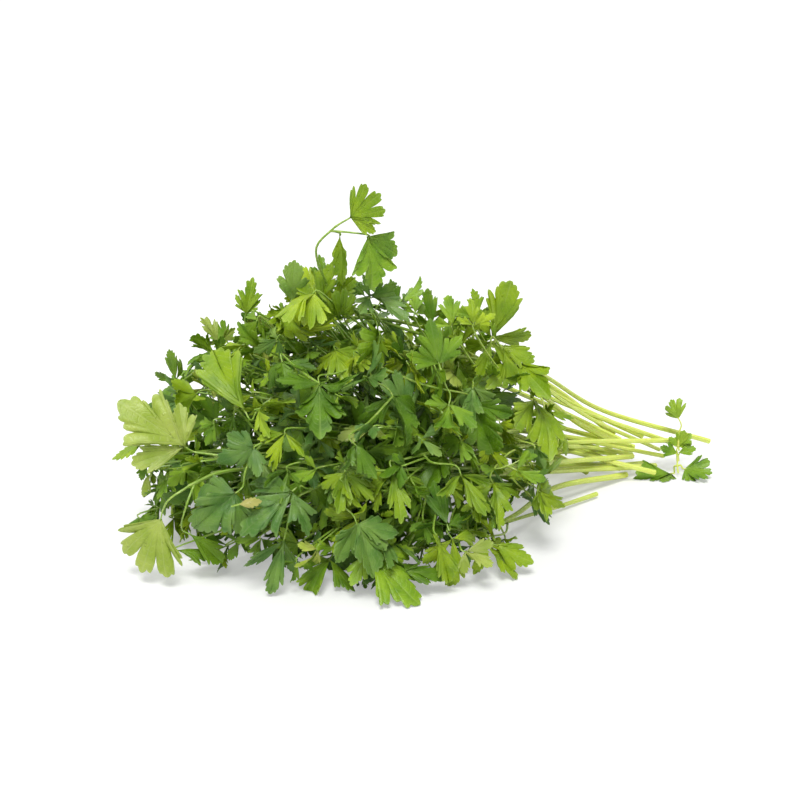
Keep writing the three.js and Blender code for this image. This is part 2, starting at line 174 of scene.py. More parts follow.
leafLooks = {  # upper side, its second tone, veins, light through it, underside and how far the veins show
    "leaf_bright": ("#9fbe22", "#7fa41c", "#c6da70", "#b2c62a", "#b4c66c", 0.24),
    "leaf_mid": ("#90b82c", "#6b9820", "#a8c468", "#9aba2e", "#a0ba6a", 0.3),
    "leaf_dark": ("#66921a", "#4a7412", "#8cac50", "#789c24", "#8aa85c", 0.5),
    "leaf_blue_green": ("#82a84a", "#5d8a38", "#a4be78", "#8cae36", "#9cb476", 0.3),
    "leaf_pale": ("#b4c55c", "#9cb342", "#d2de98", "#bccf4a", "#c6d292", 0.22),
}
leafAttributes = ("veinPhase", "veinReach", "leafTint")  # painted on every leaf's corners
leafDetail = {  # an edge is where a pattern fades, in the pattern's own values
    "toneAndShadingNoise": 1 / 0.012,  # patches about 12 mm across: partly the leaf's own uneven tone, partly painted shading of its curved, glossy surface
    "toneAndShadingEdge": (0.4, 0.6),
    "veinEdge": (0.02, 0.22),  # of the way to the next vein
    "underVeins": 0.5,  # how far the veins show below
    "barbs": 8,  # side veins along a lobe, each branching off forwards
    "barbLag": 0.9,
    "barbEdge": (0.03, 0.17),
    "barbShow": 0.55,
    "rimEdge": (0.93, 1),  # of the way to the margin
    "rimShow": 0.25,
    "tintValue": (0.74, 1.26),
    "tintHue": (0.508, 0.486),
    "dryEdge": (1.2, 1.4),  # a tint past this is a dry leaf's
    "dryShow": 0.7,
    "dry": "#c0b070",
    "cells": 1 / 0.0011,  # the finest veins close cells of about 1 mm
    "cellEdge": (0, 0.25),
    "drops": 1 / 0.005,  # drops of water about 5 mm apart
    "dropEdge": (0.17, 0.09),
    "wetPatches": 1 / 0.045,
    "wetEdge": (0.48, 0.56),
    "roughEdge": (0.3, 0.7),
    "rough": ((0.21, 0.43), (0.48, 0.7)),  # of the upper side and the underside
    "roughDrop": 0.06,
    "gloss": (0.38, 0.14),
    "ior": 1.45,
    "quiltBump": (0.25, 0.2 * mm),  # strength and height
    "veinBump": (0.5, 0.3 * mm),
    "dropBump": (0.8, 0.4 * mm),
    "through": 0.32,  # share of the light that a leaf lets through
}
bump = ("Strength", "Distance")


# A parsley leaf: waxy and half glossy above, matt and paler below, lit through where light is behind it.
# Map Range takes a value (0) from one range (1, 2) to another (3, 4), and Mix shares (0) two colours (6, 7)
def leafMaterial(name, look, under):
    upper, second, vein, through, underside, veinShow = look
    detail = leafDetail
    material = bpy.data.materials.new(name)
    add = startNodes(material)
    place = add("TexCoord", out="Object")
    phase, reach, tint = (add("Attribute", out="Fac", attribute_name=name) for name in leafAttributes)

    # the upper side shades into its second tone in patches: partly real uneven colour, partly painted shade
    # and light standing for curvature and gloss
    toneAndShadingNoise = add("TexNoise", {"Vector": place, "Scale": detail["toneAndShadingNoise"], "Detail": 3})
    toneAndShadingPatches = add("MapRange", {0: toneAndShadingNoise, (1, 2): detail["toneAndShadingEdge"]})
    base = add("Mix", {0: toneAndShadingPatches, 6: linear(underside if under else upper),
                       7: linear(underside if under else second)}, out=2, data_type="RGBA")

    veinLine = add("MapRange", {0: phase, (1, 2): detail["veinEdge"], (3, 4): (1, 0)},
                   interpolation_type="SMOOTHSTEP")
    lag = add("Math", {0: phase, 1: -detail["barbLag"]}, operation="MULTIPLY")
    step = add("Math", {0: reach, 1: detail["barbs"], 2: lag}, operation="MULTIPLY_ADD")
    barb = add("Math", {0: step, 1: 0.5}, operation="PINGPONG")
    barbLine = add("MapRange", {0: barb, (1, 2): detail["barbEdge"], (3, 4): (detail["barbShow"], 0)},
                   interpolation_type="SMOOTHSTEP")
    lines = add("Math", {0: veinLine, 1: barbLine}, operation="MAXIMUM")
    veinShare = add("Math", {0: lines, 1: detail["underVeins"] if under else veinShow}, operation="MULTIPLY")
    veined = add("Mix", {0: veinShare, 6: base, 7: linear(vein)}, out=2, data_type="RGBA")
    rim = add("MapRange", {0: reach, (1, 2): detail["rimEdge"], (3, 4): (0, detail["rimShow"])})
    edged = add("Mix", {0: rim, 6: veined, 7: linear(vein)}, out=2, data_type="RGBA")

    value = add("MapRange", {0: tint, (3, 4): detail["tintValue"]})
    hue = add("MapRange", {0: tint, (3, 4): detail["tintHue"]})
    toned = add("HueSaturation", {"Hue": hue, "Value": value, "Color": edged})
    dryness = add("MapRange", {0: tint, (1, 2): detail["dryEdge"], (3, 4): (0, detail["dryShow"])})
    aged = add("Mix", {0: dryness, 6: toned, 7: linear(detail["dry"])}, out=2, data_type="RGBA")

    drops = add("TexVoronoi", {"Vector": place, "Scale": detail["drops"]}, out="Distance")
    drop = add("MapRange", {0: drops, (1, 2): detail["dropEdge"]}, interpolation_type="SMOOTHSTEP")
    wet = add("TexNoise", {"Vector": place, "Scale": detail["wetPatches"]})
    wetShare = add("MapRange", {0: wet, (1, 2): detail["wetEdge"], (3, 4): (0, 0 if under else 1)})
    wetDrop = add("Math", {0: drop, 1: wetShare}, operation="MULTIPLY")
    rough = add("MapRange", {0: toneAndShadingNoise, (1, 2): detail["roughEdge"], (3, 4): detail["rough"][under]})
    wetRough = add("Mix", {0: wetDrop, 2: rough, 3: detail["roughDrop"]})

    cells = add("TexVoronoi", {"Vector": place, "Scale": detail["cells"]}, out="Distance",
                feature="DISTANCE_TO_EDGE")
    quilt = add("MapRange", {0: cells, (1, 2): detail["cellEdge"]})
    quilted = add("Bump", {bump: detail["quiltBump"], "Height": quilt}, invert=under)
    ribbed = add("Bump", {bump: detail["veinBump"], "Height": lines, "Normal": quilted}, invert=not under)
    wetted = add("Bump", {bump: detail["dropBump"], "Height": wetDrop, "Normal": ribbed})
    skin = add("BsdfPrincipled", {"Base Color": aged, "Roughness": wetRough, "IOR": detail["ior"],
                                  "Specular IOR Level": detail["gloss"][under], "Normal": wetted})
    glow = add("BsdfTranslucent", {"Color": linear(through), "Normal": wetted})
    add("OutputMaterial", {"Surface": add("MixShader", {0: detail["through"], 1: skin, 2: glow})})
    return material


stemLook = {
    "pale": "#cdd865",
    "green": "#7f9f38",
    "greenToPale": (-0.02, 0.13),  # along the bunch
    "streak": "#e6ec9c",
    "streaks": (60, 900, 900),  # about 1 mm wide and 17 mm long
    "streakEdge": (0.5, 0.75),
    "streakShow": 0.4,
    "streakBump": (0.3, 0.2 * mm),
    "rough": 0.34,
    "ior": 1.42,
    "flesh": 0.35,  # share of the light that sinks in
    "fleshColour": (0.6, 1.0, 0.25),
    "fleshDepth": 1 * mm,
}


# A parsley stem: juicy, ribbed and half glossy, pale at the cut end and greener towards its leaves
def stemMaterial():
    look = stemLook
    material = bpy.data.materials.new("freshStem")
    add = startNodes(material)
    place = add("TexCoord", out="Object")
    along = add("SeparateXYZ", {0: place}, out="X")
    ripe = add("MapRange", {0: along, (1, 2): look["greenToPale"]})
    base = add("Mix", {0: ripe, 6: linear(look["green"]), 7: linear(look["pale"])}, out=2, data_type="RGBA")
    stretch = add("Mapping", {"Vector": place, "Scale": look["streaks"]})
    streak = add("TexNoise", {"Vector": stretch, "Scale": 1, "Detail": 2})
    lines = add("MapRange", {0: streak, (1, 2): look["streakEdge"], (3, 4): (0, look["streakShow"])})
    lined = add("Mix", {0: lines, 6: base, 7: linear(look["streak"])}, out=2, data_type="RGBA")
    ribbed = add("Bump", {bump: look["streakBump"], "Height": streak})
    skin = add("BsdfPrincipled", {
        "Base Color": lined, "Roughness": look["rough"], "IOR": look["ior"], "Normal": ribbed,
        "Subsurface Weight": look["flesh"], "Subsurface Radius": look["fleshColour"],
        "Subsurface Scale": look["fleshDepth"]})
    add("OutputMaterial", {"Surface": skin})
    return material


leafMaterials = {slot: (leafMaterial(slot + "Upper", look, False), leafMaterial(slot + "Under", look, True))
                 for slot, look in leafLooks.items()}
stemSkin = stemMaterial()
print("materials made")


# Leaflets: each form is modelled once, flat, one unit long and with its neck at the origin

# half outlines as [along, out]: the smooth margin from the neck, then each tooth's point, the notch after
# it and how strong its vein is; the veins leave the middle one over its first part, up to spread
leafletForms = {
    "broad": {
        "margin": [(0.1, 0.02), (0.25, 0.08), (0.4, 0.19)],
        "teeth": [((0.52, 0.33), (0.54, 0.3), 0.3), ((0.65, 0.4), (0.64, 0.33), 1),
                  ((0.7, 0.3), (0.51, 0.1), 0.3), ((0.76, 0.2), (0.77, 0.15), 0.3),
                  ((0.89, 0.16), (0.89, 0.1), 0.6)],
        "spread": 0.34},
    "fan": {
        "margin": [(0.08, 0.03), (0.2, 0.13), (0.32, 0.29)],
        "teeth": [((0.43, 0.53), (0.47, 0.5), 0.4), ((0.56, 0.59), (0.42, 0.29), 1),
                  ((0.76, 0.5), (0.76, 0.44), 0.4), ((0.87, 0.4), (0.84, 0.33), 1),
                  ((0.85, 0.26), (0.58, 0.12), 0.3), ((0.92, 0.13), (0.92, 0.07), 0.4)],
        "spread": 0.1},
    "deep": {
        "margin": [(0.12, 0.016), (0.24, 0.045), (0.34, 0.11)],
        "teeth": [((0.45, 0.27), (0.48, 0.24), 0.3), ((0.6, 0.38), (0.58, 0.29), 1),
                  ((0.62, 0.24), (0.38, 0.055), 0.3), ((0.7, 0.17), (0.71, 0.12), 0.4),
                  ((0.87, 0.15), (0.88, 0.08), 0.5)],
        "spread": 0.24},
    "wedge": {
        "margin": [(0.12, 0.03), (0.32, 0.1), (0.5, 0.19)],
        "teeth": [((0.63, 0.29), (0.64, 0.25), 0.3), ((0.77, 0.31), (0.66, 0.13), 1),
                  ((0.86, 0.2), (0.86, 0.15), 0.4), ((0.95, 0.13), (0.94, 0.07), 0.5)],
        "spread": 0.4},
    "fine": {
        "margin": [(0.07, 0.03), (0.17, 0.12), (0.27, 0.25)],
        "teeth": [((0.37, 0.4), (0.41, 0.36), 0.4), ((0.52, 0.48), (0.54, 0.4), 1),
                  ((0.61, 0.38), (0.47, 0.15), 0.4), ((0.73, 0.3), (0.74, 0.24), 0.5),
                  ((0.86, 0.22), (0.86, 0.15), 0.8), ((0.95, 0.12), (0.95, 0.06), 0.4)],
        "spread": 0.4},
    "round": {
        "margin": [(0.06, 0.035), (0.18, 0.12), (0.34, 0.27)],
        "teeth": [((0.48, 0.37), (0.51, 0.34), 0.3), ((0.63, 0.4), (0.6, 0.28), 1),
                  ((0.78, 0.31), (0.74, 0.2), 0.6), ((0.9, 0.19), (0.88, 0.11), 0.7)],
        "spread": 0.42},
    "narrow": {
        "margin": [(0.1, 0.02), (0.24, 0.08)],
        "teeth": [((0.42, 0.16), (0.45, 0.13), 0.5), ((0.6, 0.18), (0.62, 0.13), 0.6),
                  ((0.79, 0.15), (0.81, 0.09), 0.6), ((0.92, 0.08), (0.93, 0.045), 0.4)],
        "spread": 0.7},
    "young": {
        "margin": [(0.1, 0.02), (0.28, 0.07), (0.42, 0.15)],
        "teeth": [((0.6, 0.31), (0.62, 0.27), 0.4), ((0.72, 0.27), (0.5, 0.07), 1),
                  ((0.87, 0.16), (0.88, 0.08), 0.5)],
        "spread": 0.28},
}
leafletMake = {
    "thickness": 0.012,  # of the leaflet's length, so about 0.4 mm
    "rows": {"full": (0, 0.26, 0.52, 0.78, 1), "half": (0, 0.52, 1), "plain": (0, 0.52, 1)},
    # where a tooth's side is bulged, from notch to point, and by how much of its length
    "bulges": {"full": ((0.45, 0.15), (0.84, 0.12)), "half": ((0.68, 0.16),), "plain": ()},
    "longestBulge": 0.14,  # a longer side bulges no more than one of this length
    "neck": 0.012,  # half width where it meets its stalk
    "gathered": 1.3,  # how fast the veins' roots draw near the neck, from the tip round
    "rowBow": 0.92,  # how the veins bow outwards
    "sharpest": 40,  # degrees; the rim is sharper and stays crisp
    "variants": 3,  # of each form
    "stray": 0.018,  # how far a tooth or a notch strays in a variant
    "tipStray": 0.02,
    "weld": 1e-5,
}


def between(a, b, share):
    return (a[0] + (b[0] - a[0]) * share, a[1] + (b[1] - a[1]) * share)


def strayed(point):
    return tuple(v + chance.uniform(-1, 1) * leafletMake["stray"] for v in point)


# a tooth from one notch to the next, round on both sides, each point with its phase
def toothPoints(before, tip, after, vein, detail):
    bulges = leafletMake["bulges"][detail]
    points = [(bulged(before, tip, *b), 1 - vein * b[0]) for b in bulges] + [(tip, 1 - vein)]
    return points + [(bulged(after, tip, b[0], -b[1]), 1 - vein * b[0]) for b in reversed(bulges)]


def bulged(notch, tip, share, bulge):
    x, y = between(notch, tip, share)
    bulge *= min(1, leafletMake["longestBulge"] / max(math.dist(notch, tip), 1e-6))
    return x - (tip[1] - notch[1]) * bulge, y + (tip[0] - notch[0]) * bulge


# one half of the outline, from the neck to the last notch; the phase is 0 on a vein and 1 between two
def halfOutline(form, detail):
    points = [((0, leafletMake["neck"]), 1.0)] + [(p, 1.0) for p in form["margin"]]
    notch = form["margin"][-1]
    for tip, after, vein in form["teeth"]:
        tip, after = strayed(tip), strayed(after)
        points += toothPoints(notch, tip, after, vein, detail) + [(after, 1.0)]
        notch = after
    return points


def mirrored(points):
    return [((x, -y), phase) for (x, y), phase in points]


# a grid whose near edge is gathered onto the middle vein and whose far edge is drawn out into teeth
def makeLeaflet(name, form, detail):
    right, left = halfOutline(form, detail), halfOutline(form, detail)
    rows = leafletMake["rows"][detail]
    sway = chance.uniform(-leafletMake["tipStray"], leafletMake["tipStray"])
    x, y = left[-1][0]
    tipPoints = mirrored(toothPoints(right[-1][0], (1, -sway), (x, -y), 1, detail))
    outline = mirrored(right) + tipPoints + left[::-1]
    middle = len(right) + len(tipPoints) // 2
    bpy.ops.mesh.primitive_grid_add(x_subdivisions=len(outline) - 1, y_subdivisions=len(rows) - 1, size=2)
    leaflet = bpy.context.object
    leaflet.name = name
    mesh = leaflet.data
    phases, reaches = np.zeros(len(mesh.vertices)), np.zeros(len(mesh.vertices))
    for k, vertex in enumerate(mesh.vertices):
        column = round((vertex.co.x + 1) / 2 * (len(outline) - 1))
        row = rows[round((vertex.co.y + 1) / 2 * (len(rows) - 1))]
        (x, y), phase = outline[column]
        root = form["spread"] * (1 - abs(column - middle) / middle) ** leafletMake["gathered"]
        vertex.co = (root + (x - root) * row, y * row ** leafletMake["rowBow"], 0)
        phases[k], reaches[k] = phase * min(1, row / rows[1]), row
    for attribute, values in zip(leafAttributes, (phases, reaches, phases * 0)):
        mesh.attributes.new(attribute, "FLOAT", "POINT").data.foreach_set("value", values)
    bpy.ops.object.mode_set(mode="EDIT")
    bpy.ops.mesh.select_all(action="SELECT")
    bpy.ops.mesh.remove_doubles(threshold=leafletMake["weld"])
    bpy.ops.mesh.flip_normals()
    bpy.ops.object.mode_set(mode="OBJECT")
    wall = leaflet.modifiers.new("wall", "SOLIDIFY")
    wall.thickness = leafletMake["thickness"]
    wall.offset = 0
    bpy.ops.object.modifier_apply(modifier="wall")
    for face in mesh.polygons:
        face.material_index = 0 if face.normal.z > 0.5 else 1  # the upper side, then the underside and rim
    bpy.ops.object.shade_smooth_by_angle(angle=math.radians(leafletMake["sharpest"]))
    return leaflet


leaflets = {(name, detail, variant): makeLeaflet("%s%s%d" % (name, detail, variant), form, detail)
            for name, form in leafletForms.items() for detail in leafletMake["rows"]
            for variant in range(leafletMake["variants"])}
print("leaflets modelled:", len(leaflets))

# a leaflet's corners as arrays: flat place, height within its thickness, phase and reach
leafletArrays = {}
for key, leaflet in leaflets.items():
    mesh = leaflet.data
    corners, phases, reaches = (np.zeros(len(mesh.vertices) * size) for size in (3, 1, 1))
    mesh.vertices.foreach_get("co", corners)
    mesh.attributes["veinPhase"].data.foreach_get("value", phases)
    mesh.attributes["veinReach"].data.foreach_get("value", reaches)
    leafletArrays[key] = (corners.reshape(-1, 3), phases, reaches)


leafletBends = {  # how far one leaflet differs from the next, in radians and leaflet lengths
    "width": (0.7, 0.98),
    "fold": (-0.1, 0.75),
    "cup": (-1.5, 0.9),
    "bend": (-0.4, 1.4),
    "twist": (-0.8, 0.8),
    "ruffle": (0.01, 0.05),
    "waves": (1.5, 5),
    "wave": (0.01, 0.03),
    "start": (0, 6.3),
    "swell": (0.001, 0.004),
    "droop": (-0.2, 0.5),
}
leafletRelief = {
    "heart": 0.3,  # the place on the middle vein that the ruffles turn around
    "waves": (7, 8),  # along and across
    "swellRound": 0.7,  # less is rounder between two veins
    "swellLevel": 0.6,  # how far up the swelling the leaflet's own level is
    "swellReach": 1.15,  # the swelling is full before the margin
    "flattest": 1e-3,  # a bend is never less than this
    "lowest": 0.2 * mm,  # above the surface
}


def anyShape():
    return {part: chance.uniform(*span) for part, span in leafletBends.items()}


def rolled(a, b, angle):
    return a * np.cos(angle) - b * np.sin(angle), a * np.sin(angle) + b * np.cos(angle)


# Bends a flat leaflet: swollen between its veins, ruffled at its margin, waved all over, folded along its
# middle, cupped across, twisted and bent along; the result is in leaflet lengths
def bentLeaflet(key, shape):
    relief = leafletRelief
    flat, phase, reach = leafletArrays[key]
    x, y, h = flat[:, 0], flat[:, 1] * shape["width"], flat[:, 2]
    rise = np.sin(np.clip(reach * relief["swellReach"], 0, 1) * math.pi / 2)
    lift = shape["swell"] * (np.clip(phase, 0, 1) ** relief["swellRound"] - relief["swellLevel"]) * rise
    angle = np.arctan2(y, x - relief["heart"])
    lift = lift + shape["ruffle"] * reach ** 2 * np.sin(angle * shape["waves"] + shape["start"])
    lift = lift - shape["droop"] * reach ** 3 * np.abs(y)
    along, across = relief["waves"]
    lift = lift + shape["wave"] * np.sin(x * along + shape["start"]) * np.cos(y * across + shape["start"] * 2)
    y1, z1 = rolled(y, h + lift, np.sign(y) * (shape["fold"] + shape["cup"] * np.abs(y) / 2))
    y2, z2 = rolled(y1, z1, shape["twist"] * x)
    bend = shape["bend"] if abs(shape["bend"]) > relief["flattest"] else relief["flattest"]
    arc = bend * x
    x3 = np.sin(arc) / bend + z2 * np.sin(arc)
    z3 = -(1 - np.cos(arc)) / bend + z2 * np.cos(arc)
    return np.stack([x3, y2, z3], axis=1)


def unit(vector):
    return vector / max(np.linalg.norm(vector), 1e-12)


# a leaf's axes at its fork: towards its tip, to its left and out of its upper face
def leafAxes(along, face):
    x = unit(along)
    z = unit(face - x * face.dot(x))
    return x, np.cross(z, x), z


# a bent copy of a leaflet with its own mesh, at its place in the bunch
def placeLeaflet(key, origin, x, y, z, length, shape, tint):
    mesh = leaflets[key].data.copy()
    corners = bentLeaflet(key, shape) * length
    placed = origin + corners[:, :1] * x + corners[:, 1:2] * y + corners[:, 2:] * z
    thin = leafletMake["thickness"] * length / 2
    low = thin + leafletRelief["lowest"] + leafletArrays[key][0][:, 2] * length
    placed[:, 2] = np.maximum(placed[:, 2], low)  # nothing goes below the surface
    mesh.vertices.foreach_set("co", placed.astype(np.float32).ravel())
    mesh.attributes["leafTint"].data.foreach_set("value", np.full(len(mesh.vertices), tint))
    copy = bpy.data.objects.new("leaflet", mesh)
    bpy.context.collection.objects.link(copy)
    return copy


# Stems and stalks: round or ribbed curves, turned into meshes

stemMake = {
    "cutRadius": (1.55 * mm, 2.15 * mm),
    "crownRadius": (0.8 * mm, 1.1 * mm),
    "radii": {"stem_01": (1.6 * mm, 0.62 * mm), "stem_06": (1.5 * mm, 0.9 * mm),
              "stem_09": (1.75 * mm, 1.1 * mm), "stem_13": (1.3 * mm, 0.8 * mm),
              "stem_16": (0.55 * mm, 0.55 * mm)},
    "stalkRadius": 0.7 * mm,
    "stalkTip": 0.4 * mm,
    "steps": 5,  # from one ring of the solid to the next
    "ribs": 7,
    "ribDepth": 0.14,
    "sharpest": 60,  # degrees
}


def ribbedProfile():
    bpy.ops.curve.primitive_bezier_circle_add(radius=1)
    profile = bpy.context.object
    profile.name = "stemProfile"
    data = profile.data
    data.splines.clear()
    spline = data.splines.new("POLY")
    count = stemMake["ribs"] * 2
    spline.points.add(count - 1)
    for i, point in enumerate(spline.points):
        angle = i / count * math.tau
        radius = 1 if i % 2 == 0 else 1 - stemMake["ribDepth"]
        point.co = (math.cos(angle) * radius, math.sin(angle) * radius, 0, 1)
    spline.use_cyclic_u = True
    return profile


# several tapered runs as one mesh: each is a list of points and the radius at each point
def makeRuns(name, runs, profile=None, sides=1):
    data = bpy.data.curves.new(name, "CURVE")
    data.dimensions = "3D"
    data.use_fill_caps = True
    if profile:
        data.bevel_mode = "OBJECT"
        data.bevel_object = profile
    else:
        data.bevel_depth = 1
        data.bevel_resolution = sides
    for points, radii in runs:
        spline = data.splines.new("POLY")
        spline.points.add(len(points) - 1)
        for point, place, radius in zip(spline.points, points, radii):
            point.co = (*place, 1)
            point.radius = radius
    piece = bpy.data.objects.new(name, data)
    bpy.context.collection.objects.link(piece)
    bpy.ops.object.select_all(action="DESELECT")
    piece.select_set(True)
    bpy.context.view_layer.objects.active = piece
    bpy.ops.object.convert(target="MESH")
    piece = bpy.context.object
    bpy.ops.object.shade_smooth_by_angle(angle=math.radians(stemMake["sharpest"]))
    return piece


# a Catmull-Rom line through a few points
def smoothLine(points, steps):
    points = [np.array(p, float) for p in points]
    ends = [2 * points[0] - points[1]] + points + [2 * points[-1] - points[-2]]
    line = []
    for i in range(1, len(ends) - 2):
        a, b, c, d = ends[i - 1:i + 3]
        for step in range(steps):
            t = step / steps
            line.append(0.5 * (2 * b + (c - a) * t + (2 * a - 5 * b + 4 * c - d) * t * t
                               + (3 * b - a - 3 * c + d) * t ** 3))
    return line + [points[-1]]


def tapered(line, start, end):
    return [start + (end - start) * i / (len(line) - 1) for i in range(len(line))]


stemProfile = ribbedProfile()


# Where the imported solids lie

forkTemplates = {  # the corners of each kind of leaf solid that show its fork and its length
    "trio": [(0.47, 0.36), (0.58, 0.25), (0.84, 0.26)],
    "fan": [(0.42, 0.52), (0.62, 0.36), (0.86, 0.4)],
    "narrow": [(0.4, 0.17), (0.55, 0.11), (0.75, 0.15)],
}
solidMake = {  # how the solids are drawn, and how closely their corners are matched
    "blade": 0.8 * mm,
    "stemSides": 5,
    "leastLength": 12 * mm,
    "leastArea": 15 * mm * mm,
    "sameCorner": 0.06 * mm,
    "sameFork": 1 * mm,
    "aroundFork": 3 * mm,
    "sameWay": 0.9999,  # cosine between two normals of one flat area
    "sameLevel": 0.02 * mm,
    "evenRing": 0.02,
    "corner": 6,  # decimals that tell two corners apart
}


def solidCorners(node):
    mesh = frame["nodes"][node].data
    corners = np.array([v.co for v in mesh.vertices])
    kept, index = np.unique(corners.round(solidMake["corner"]), axis=0, return_inverse=True)
    index = index.reshape(-1)
    mesh.calc_loop_triangles()
    return kept, np.array([[index[v] for v in t.vertices] for t in mesh.loop_triangles])


# the flat areas of a solid, largest first: its outward direction and its corners
def flatAreas(corners, triangles, least):
    a, b, c = (corners[triangles[:, k]] for k in range(3))
    normals = np.cross(b - a, c - a)
    areas = np.linalg.norm(normals, axis=1) / 2
    normals = normals / np.maximum(areas[:, None] * 2, 1e-15)
    left, found = areas > 1e-9, []
    while left.any():
        first = np.argmax(np.where(left, areas, 0))
        level = normals @ normals[first] > solidMake["sameWay"]
        level &= np.abs((a - a[first]) @ normals[first]) < solidMake["sameLevel"]
        level &= left
        level[first] = True
        left &= ~level
        if areas[level].sum() > least:
            found.append((normals[first], np.unique(triangles[level])))
    return found


# the fork and tip of the blade whose corners these are, or None
def matchFork(flat):
    best = None
    for kind, ((along, out), *others) in forkTemplates.items():
        for right, left in itertools.permutations(flat, 2):
            across = right - left
            length = np.linalg.norm(across) / (2 * out)
            if length < solidMake["leastLength"]:
                continue
            y = across / np.linalg.norm(across)
            x = np.array([y[1], -y[0]])
            fork = (right + left) / 2 - x * along * length
            wanted = [fork + x * length]
            wanted += [fork + (x * u + y * v * side) * length for u, v in others for side in (1, -1)]
            gaps = [np.min(np.linalg.norm(flat - w, axis=1)) for w in wanted]
            if max(gaps) < solidMake["sameCorner"] and (best is None or length > best[3]):
                best = (kind, fork, fork + x * length, length)
    return best


def findForks(node):
    corners, triangles = solidCorners(node)
    forks = []
    for normal, used in flatAreas(corners, triangles, solidMake["leastArea"]):
        x = unit(np.cross(normal, (0.3, 0.5, 0.81)))  # any way along the flat area
        y = np.cross(normal, x)
        flat = np.stack([corners[used] @ x, corners[used] @ y], axis=1)
        match = matchFork(flat)
        if not match:
            continue
        height = corners[used[0]] @ normal - solidMake["blade"] / 2
        kind, fork, tip, length = match
        fork, tip = (normal * height + x * p[0] + y * p[1] for p in (fork, tip))
        if any(np.linalg.norm(fork - other["fork"]) < solidMake["sameFork"] for other in forks):
            continue
        near = corners[np.linalg.norm(corners - fork, axis=1) < solidMake["aroundFork"]]
        up = normal if np.mean((near - fork) @ normal) > 0 else -normal
        forks.append({"kind": kind, "fork": fork, "tip": tip, "length": length, "up": up})
    return forks


# a stem's centre line from its cut end: the rings of its solid, one after another
def findLine(node):
    corners, triangles = solidCorners(node)
    ends = []
    for _, used in flatAreas(corners, triangles, 0):
        radii = np.linalg.norm(corners[used] - corners[used].mean(axis=0), axis=1)
        if len(used) == solidMake["stemSides"] and radii.std() < solidMake["evenRing"] * radii.mean():
            ends.append((radii.mean(), used))
    ring = set(max(ends, key=lambda e: e[0])[1])
    seen, line = set(), []
    while ring:
        line.append(corners[list(ring)].mean(axis=0))
        seen |= ring
        touching = triangles[np.isin(triangles, list(ring)).any(axis=1)]
        ring = set(touching.ravel()) - seen
    return line


slotOf = {row["node"]: row["material_slot"] for row in frame["record"]["subparts"]}
stemNodes = sorted(n for n in frame["nodes"] if n.startswith("stem"))
leafNodes = sorted(n for n in frame["nodes"] if n.startswith("leaf"))
stemLines = {node: findLine(node) for node in stemNodes}
leafForks = {node: findForks(node) for node in leafNodes}
print("found", len(stemLines), "stems and", sum(len(f) for f in leafForks.values()), "forks in the solids")


# One leaf: three leaflets, or one, at a fork

leafMake = {
    "sideTurn": (54, 78),  # degrees from the end leaflet
    "sideSize": (0.66, 0.88),
    "sideDroop": (-0.05, 0.55),
    "sideWidth": 0.88,
    "roll": 0.3,  # how far a leaflet is turned about its own length
    "tintSpread": 0.12,
    "stalkLead": 6 * mm,
    "stalkSway": (0.4, 0.65),  # how far a stalk leads on from its stem, and how strongly
    "stalkSteps": 4,
    "setback": 4 * mm,
}


# look may hold the leaflets' form (of a fan: fanForm, at the sides: sideForm), their size against the
# solid's, the sides that have one (-1 right, 0 end, 1 left), how far these turn from the end, how loosely
# they hang, where their upper side faces or whether they lie on it (flip), parts of their shape, and for each
# side alone its turn, size, roll, form and shape
def growFork(kind, look, detail, fork, tip, up, tint):
    x, y, z = leafAxes(tip - fork, np.array(look.get("face", -up if look.get("flip") else up)))
    length = np.linalg.norm(tip - fork) * look.get("size", 1)
    form = look["form"] if kind == "trio" else look.get("fanForm", kind)
    parts = []
    for side in look.get("sides", (-1, 0, 1) if kind == "trio" else (0,)):
        own = look.get("each", {}).get(side, {})
        shape = anyShape()
        shape.update({**look.get("shape", {}), **own.get("shape", {})})
        turn = chance.uniform(*look.get("turn", leafMake["sideTurn"])) * side
        turn = math.radians(own.get("turn", turn))
        size = own.get("size", chance.uniform(*look.get("sideSize", leafMake["sideSize"])) if side else 1)
        along = x * math.cos(turn) + y * math.sin(turn)
        if side:
            along = unit(along - z * chance.uniform(*leafMake["sideDroop"]) * look.get("loose", 1))
            shape["width"] *= leafMake["sideWidth"]
        roll = own.get("roll", chance.gauss(0, leafMake["roll"]) * look.get("loose", 1))
        sx, sy, sz = leafAxes(along, z * math.cos(roll) + np.cross(along, z) * math.sin(roll))
        drawn = own.get("form", look.get("sideForm", form) if side else form)
        key = (drawn, detail, chance.randrange(leafletMake["variants"]))
        spread = chance.uniform(-leafMake["tintSpread"], leafMake["tintSpread"])
        parts.append(placeLeaflet(key, fork, sx, sy, sz, length * size, shape, tint + spread))
    return parts


# a stalk from where it leaves its stem to the fork, arriving in line with the end leaflet
def stalkLine(start, leaving, fork, forward, lead=1.0):
    reach = np.linalg.norm(fork - start)
    arriving = fork - forward * min(reach / 4, leafMake["stalkLead"]) * lead
    ahead, share = leafMake["stalkSway"]
    bend = (start + leaving * reach * ahead * lead) * share + arriving * (1 - share)
    line = smoothLine([start, bend, arriving, fork + forward * mm], leafMake["stalkSteps"])
    return [np.array((p[0], p[1], max(p[2], stemMake["stalkRadius"]))) for p in line]


def crownOf(line, side):
    direction = unit(line[-1] - line[-2])
    if side == "end":
        return line[-1] - direction * mm, direction
    outward = unit(np.cross((0, 0, 1), direction)) * (1 if side == "left" else -1)
    return line[-1] - direction * leafMake["setback"], unit(direction + outward)


def joinParts(name, parts):
    bpy.ops.object.select_all(action="DESELECT")
    for part in parts:
        part.select_set(True)
    bpy.context.view_layer.objects.active = parts[0]
    bpy.ops.object.join()
    piece = bpy.context.object
    piece.name = name
    piece.data.name = name
    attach(piece, "root")
    return piece


def dress(parts, slot):
    for part in parts:
        part.data.materials.clear()
        for material in (*leafMaterials[slot], stemSkin):
            part.data.materials.append(material)


